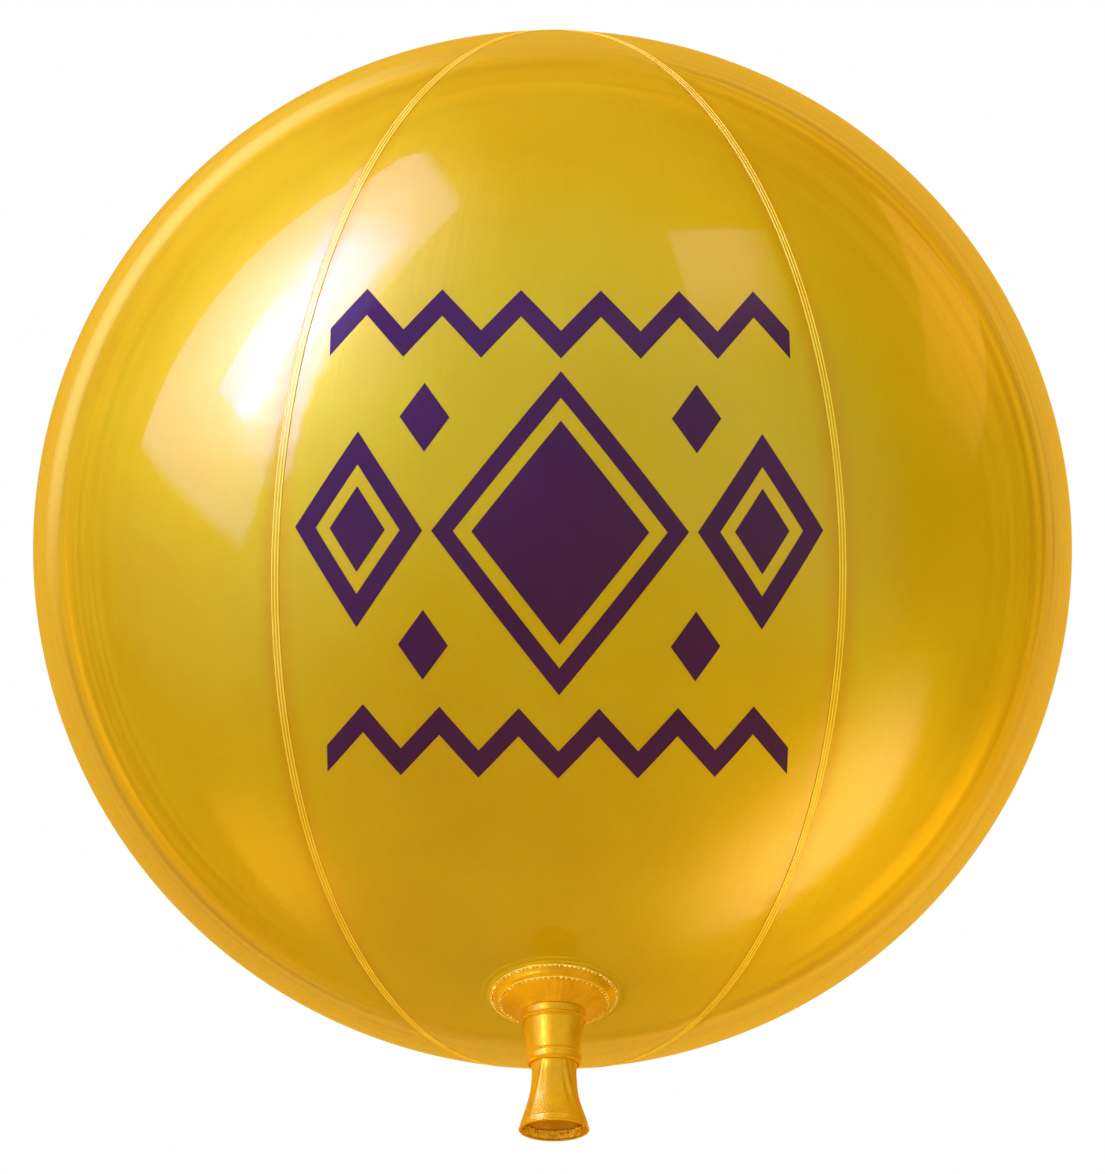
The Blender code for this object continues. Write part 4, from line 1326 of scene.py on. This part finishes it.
def make_world():
    """A pale studio, white to the camera, that lights the film by direction."""
    world = bpy.data.worlds.new("studio")
    world.use_nodes = True
    bpy.context.scene.world = world
    tree = world.node_tree
    direction = add_node(tree, "ShaderNodeTexCoord").outputs["Generated"]
    middle = tuple(spot(*BACKDROP, 1))
    behind = add_vector(tree, "DOT_PRODUCT", direction, middle)
    turn = add_math(tree, "ARCCOSINE", behind)
    rings = [(angle / 180, color, share) for angle, color, share in BACKDROP_RINGS]
    ring_light, share = add_ramp(tree, add_math(tree, "DIVIDE", turn, math.pi), rings)
    height = add_math(tree, "ADD", add_math(tree, "MULTIPLY", split_vector(tree, direction)[2], 0.5), 0.5)
    levels = [((level + 1) / 2, color, share) for level, color, share in HEIGHT_LIGHT]
    height_light = scale_vector(tree, add_ramp(tree, height, levels)[0], share)
    inward = scale_vector(tree, middle, behind)
    around = add_vector(tree, "NORMALIZE", add_vector(tree, "SUBTRACT", direction, inward))
    depth = scale_vector(tree, middle, add_math(tree, "MULTIPLY", turn, STREAK_PITCH))
    streak = add_noise(tree, add_vector(tree, "ADD", around, depth), 1.0, detail=3.0, roughness=0.6)
    streak = add_math(tree, "SUBTRACT", streak, 0.5)
    for start, end in STREAK_FADES:
        fade = add_fade(tree, turn, math.radians(start), math.radians(end))
        streak = add_math(tree, "MULTIPLY", streak, fade)
    light = add_vector(tree, "ADD", ring_light, height_light)
    light = add_vector(tree, "ADD", light, scale_vector(tree, STREAK_COLOR, streak))
    light = add_vector(tree, "MAXIMUM", light, (0, 0, 0))
    seen = add_node(tree, "ShaderNodeLightPath").outputs["Is Camera Ray"]
    fill_sockets(tree.nodes["Background"], {"Color": mix_colors(tree, seen, light, (1, 1, 1, 1))})


def make_floor():
    """A pale floor, faded out far away, that can't be seen from below."""
    material, tree, shader = new_material("Pale Floor")
    seen = add_node(tree, "ShaderNodeLightPath").outputs["Is Camera Ray"]
    color = mix_colors(tree, seen, FLOOR_BOUNCE, FLOOR_COLOR)
    fill_sockets(shader, {"Roughness": 0.8, "Specular IOR Level": 0.0, "Base Color": color})
    place = add_node(tree, "ShaderNodeTexCoord").outputs["Object"]
    far = add_vector(tree, "LENGTH", add_vector(tree, "MULTIPLY", place, (1, 1, 0)))
    under = add_node(tree, "ShaderNodeNewGeometry").outputs["Backfacing"]
    choose = add_node(tree, "ShaderNodeMixShader", {
        0: add_math(tree, "MAXIMUM", under, add_fade(tree, far, *FLOOR_FADE)), 1: shader.outputs[0],
        2: add_node(tree, "ShaderNodeBsdfTransparent").outputs[0]})
    fill_sockets(tree.nodes["Material Output"], {"Surface": choose.outputs[0]})
    turns = [2 * math.pi * side / FLOOR_SIDES for side in range(FLOOR_SIDES)]
    points = [(FLOOR_REACH * math.cos(turn), FLOOR_REACH * math.sin(turn), FLOOR_LEVEL) for turn in turns]
    mesh_object("floor", points, [tuple(range(FLOOR_SIDES))], material)


make_camera()
make_panels()
make_world()
make_floor()
bpy.context.scene.view_settings.view_transform = "Standard"
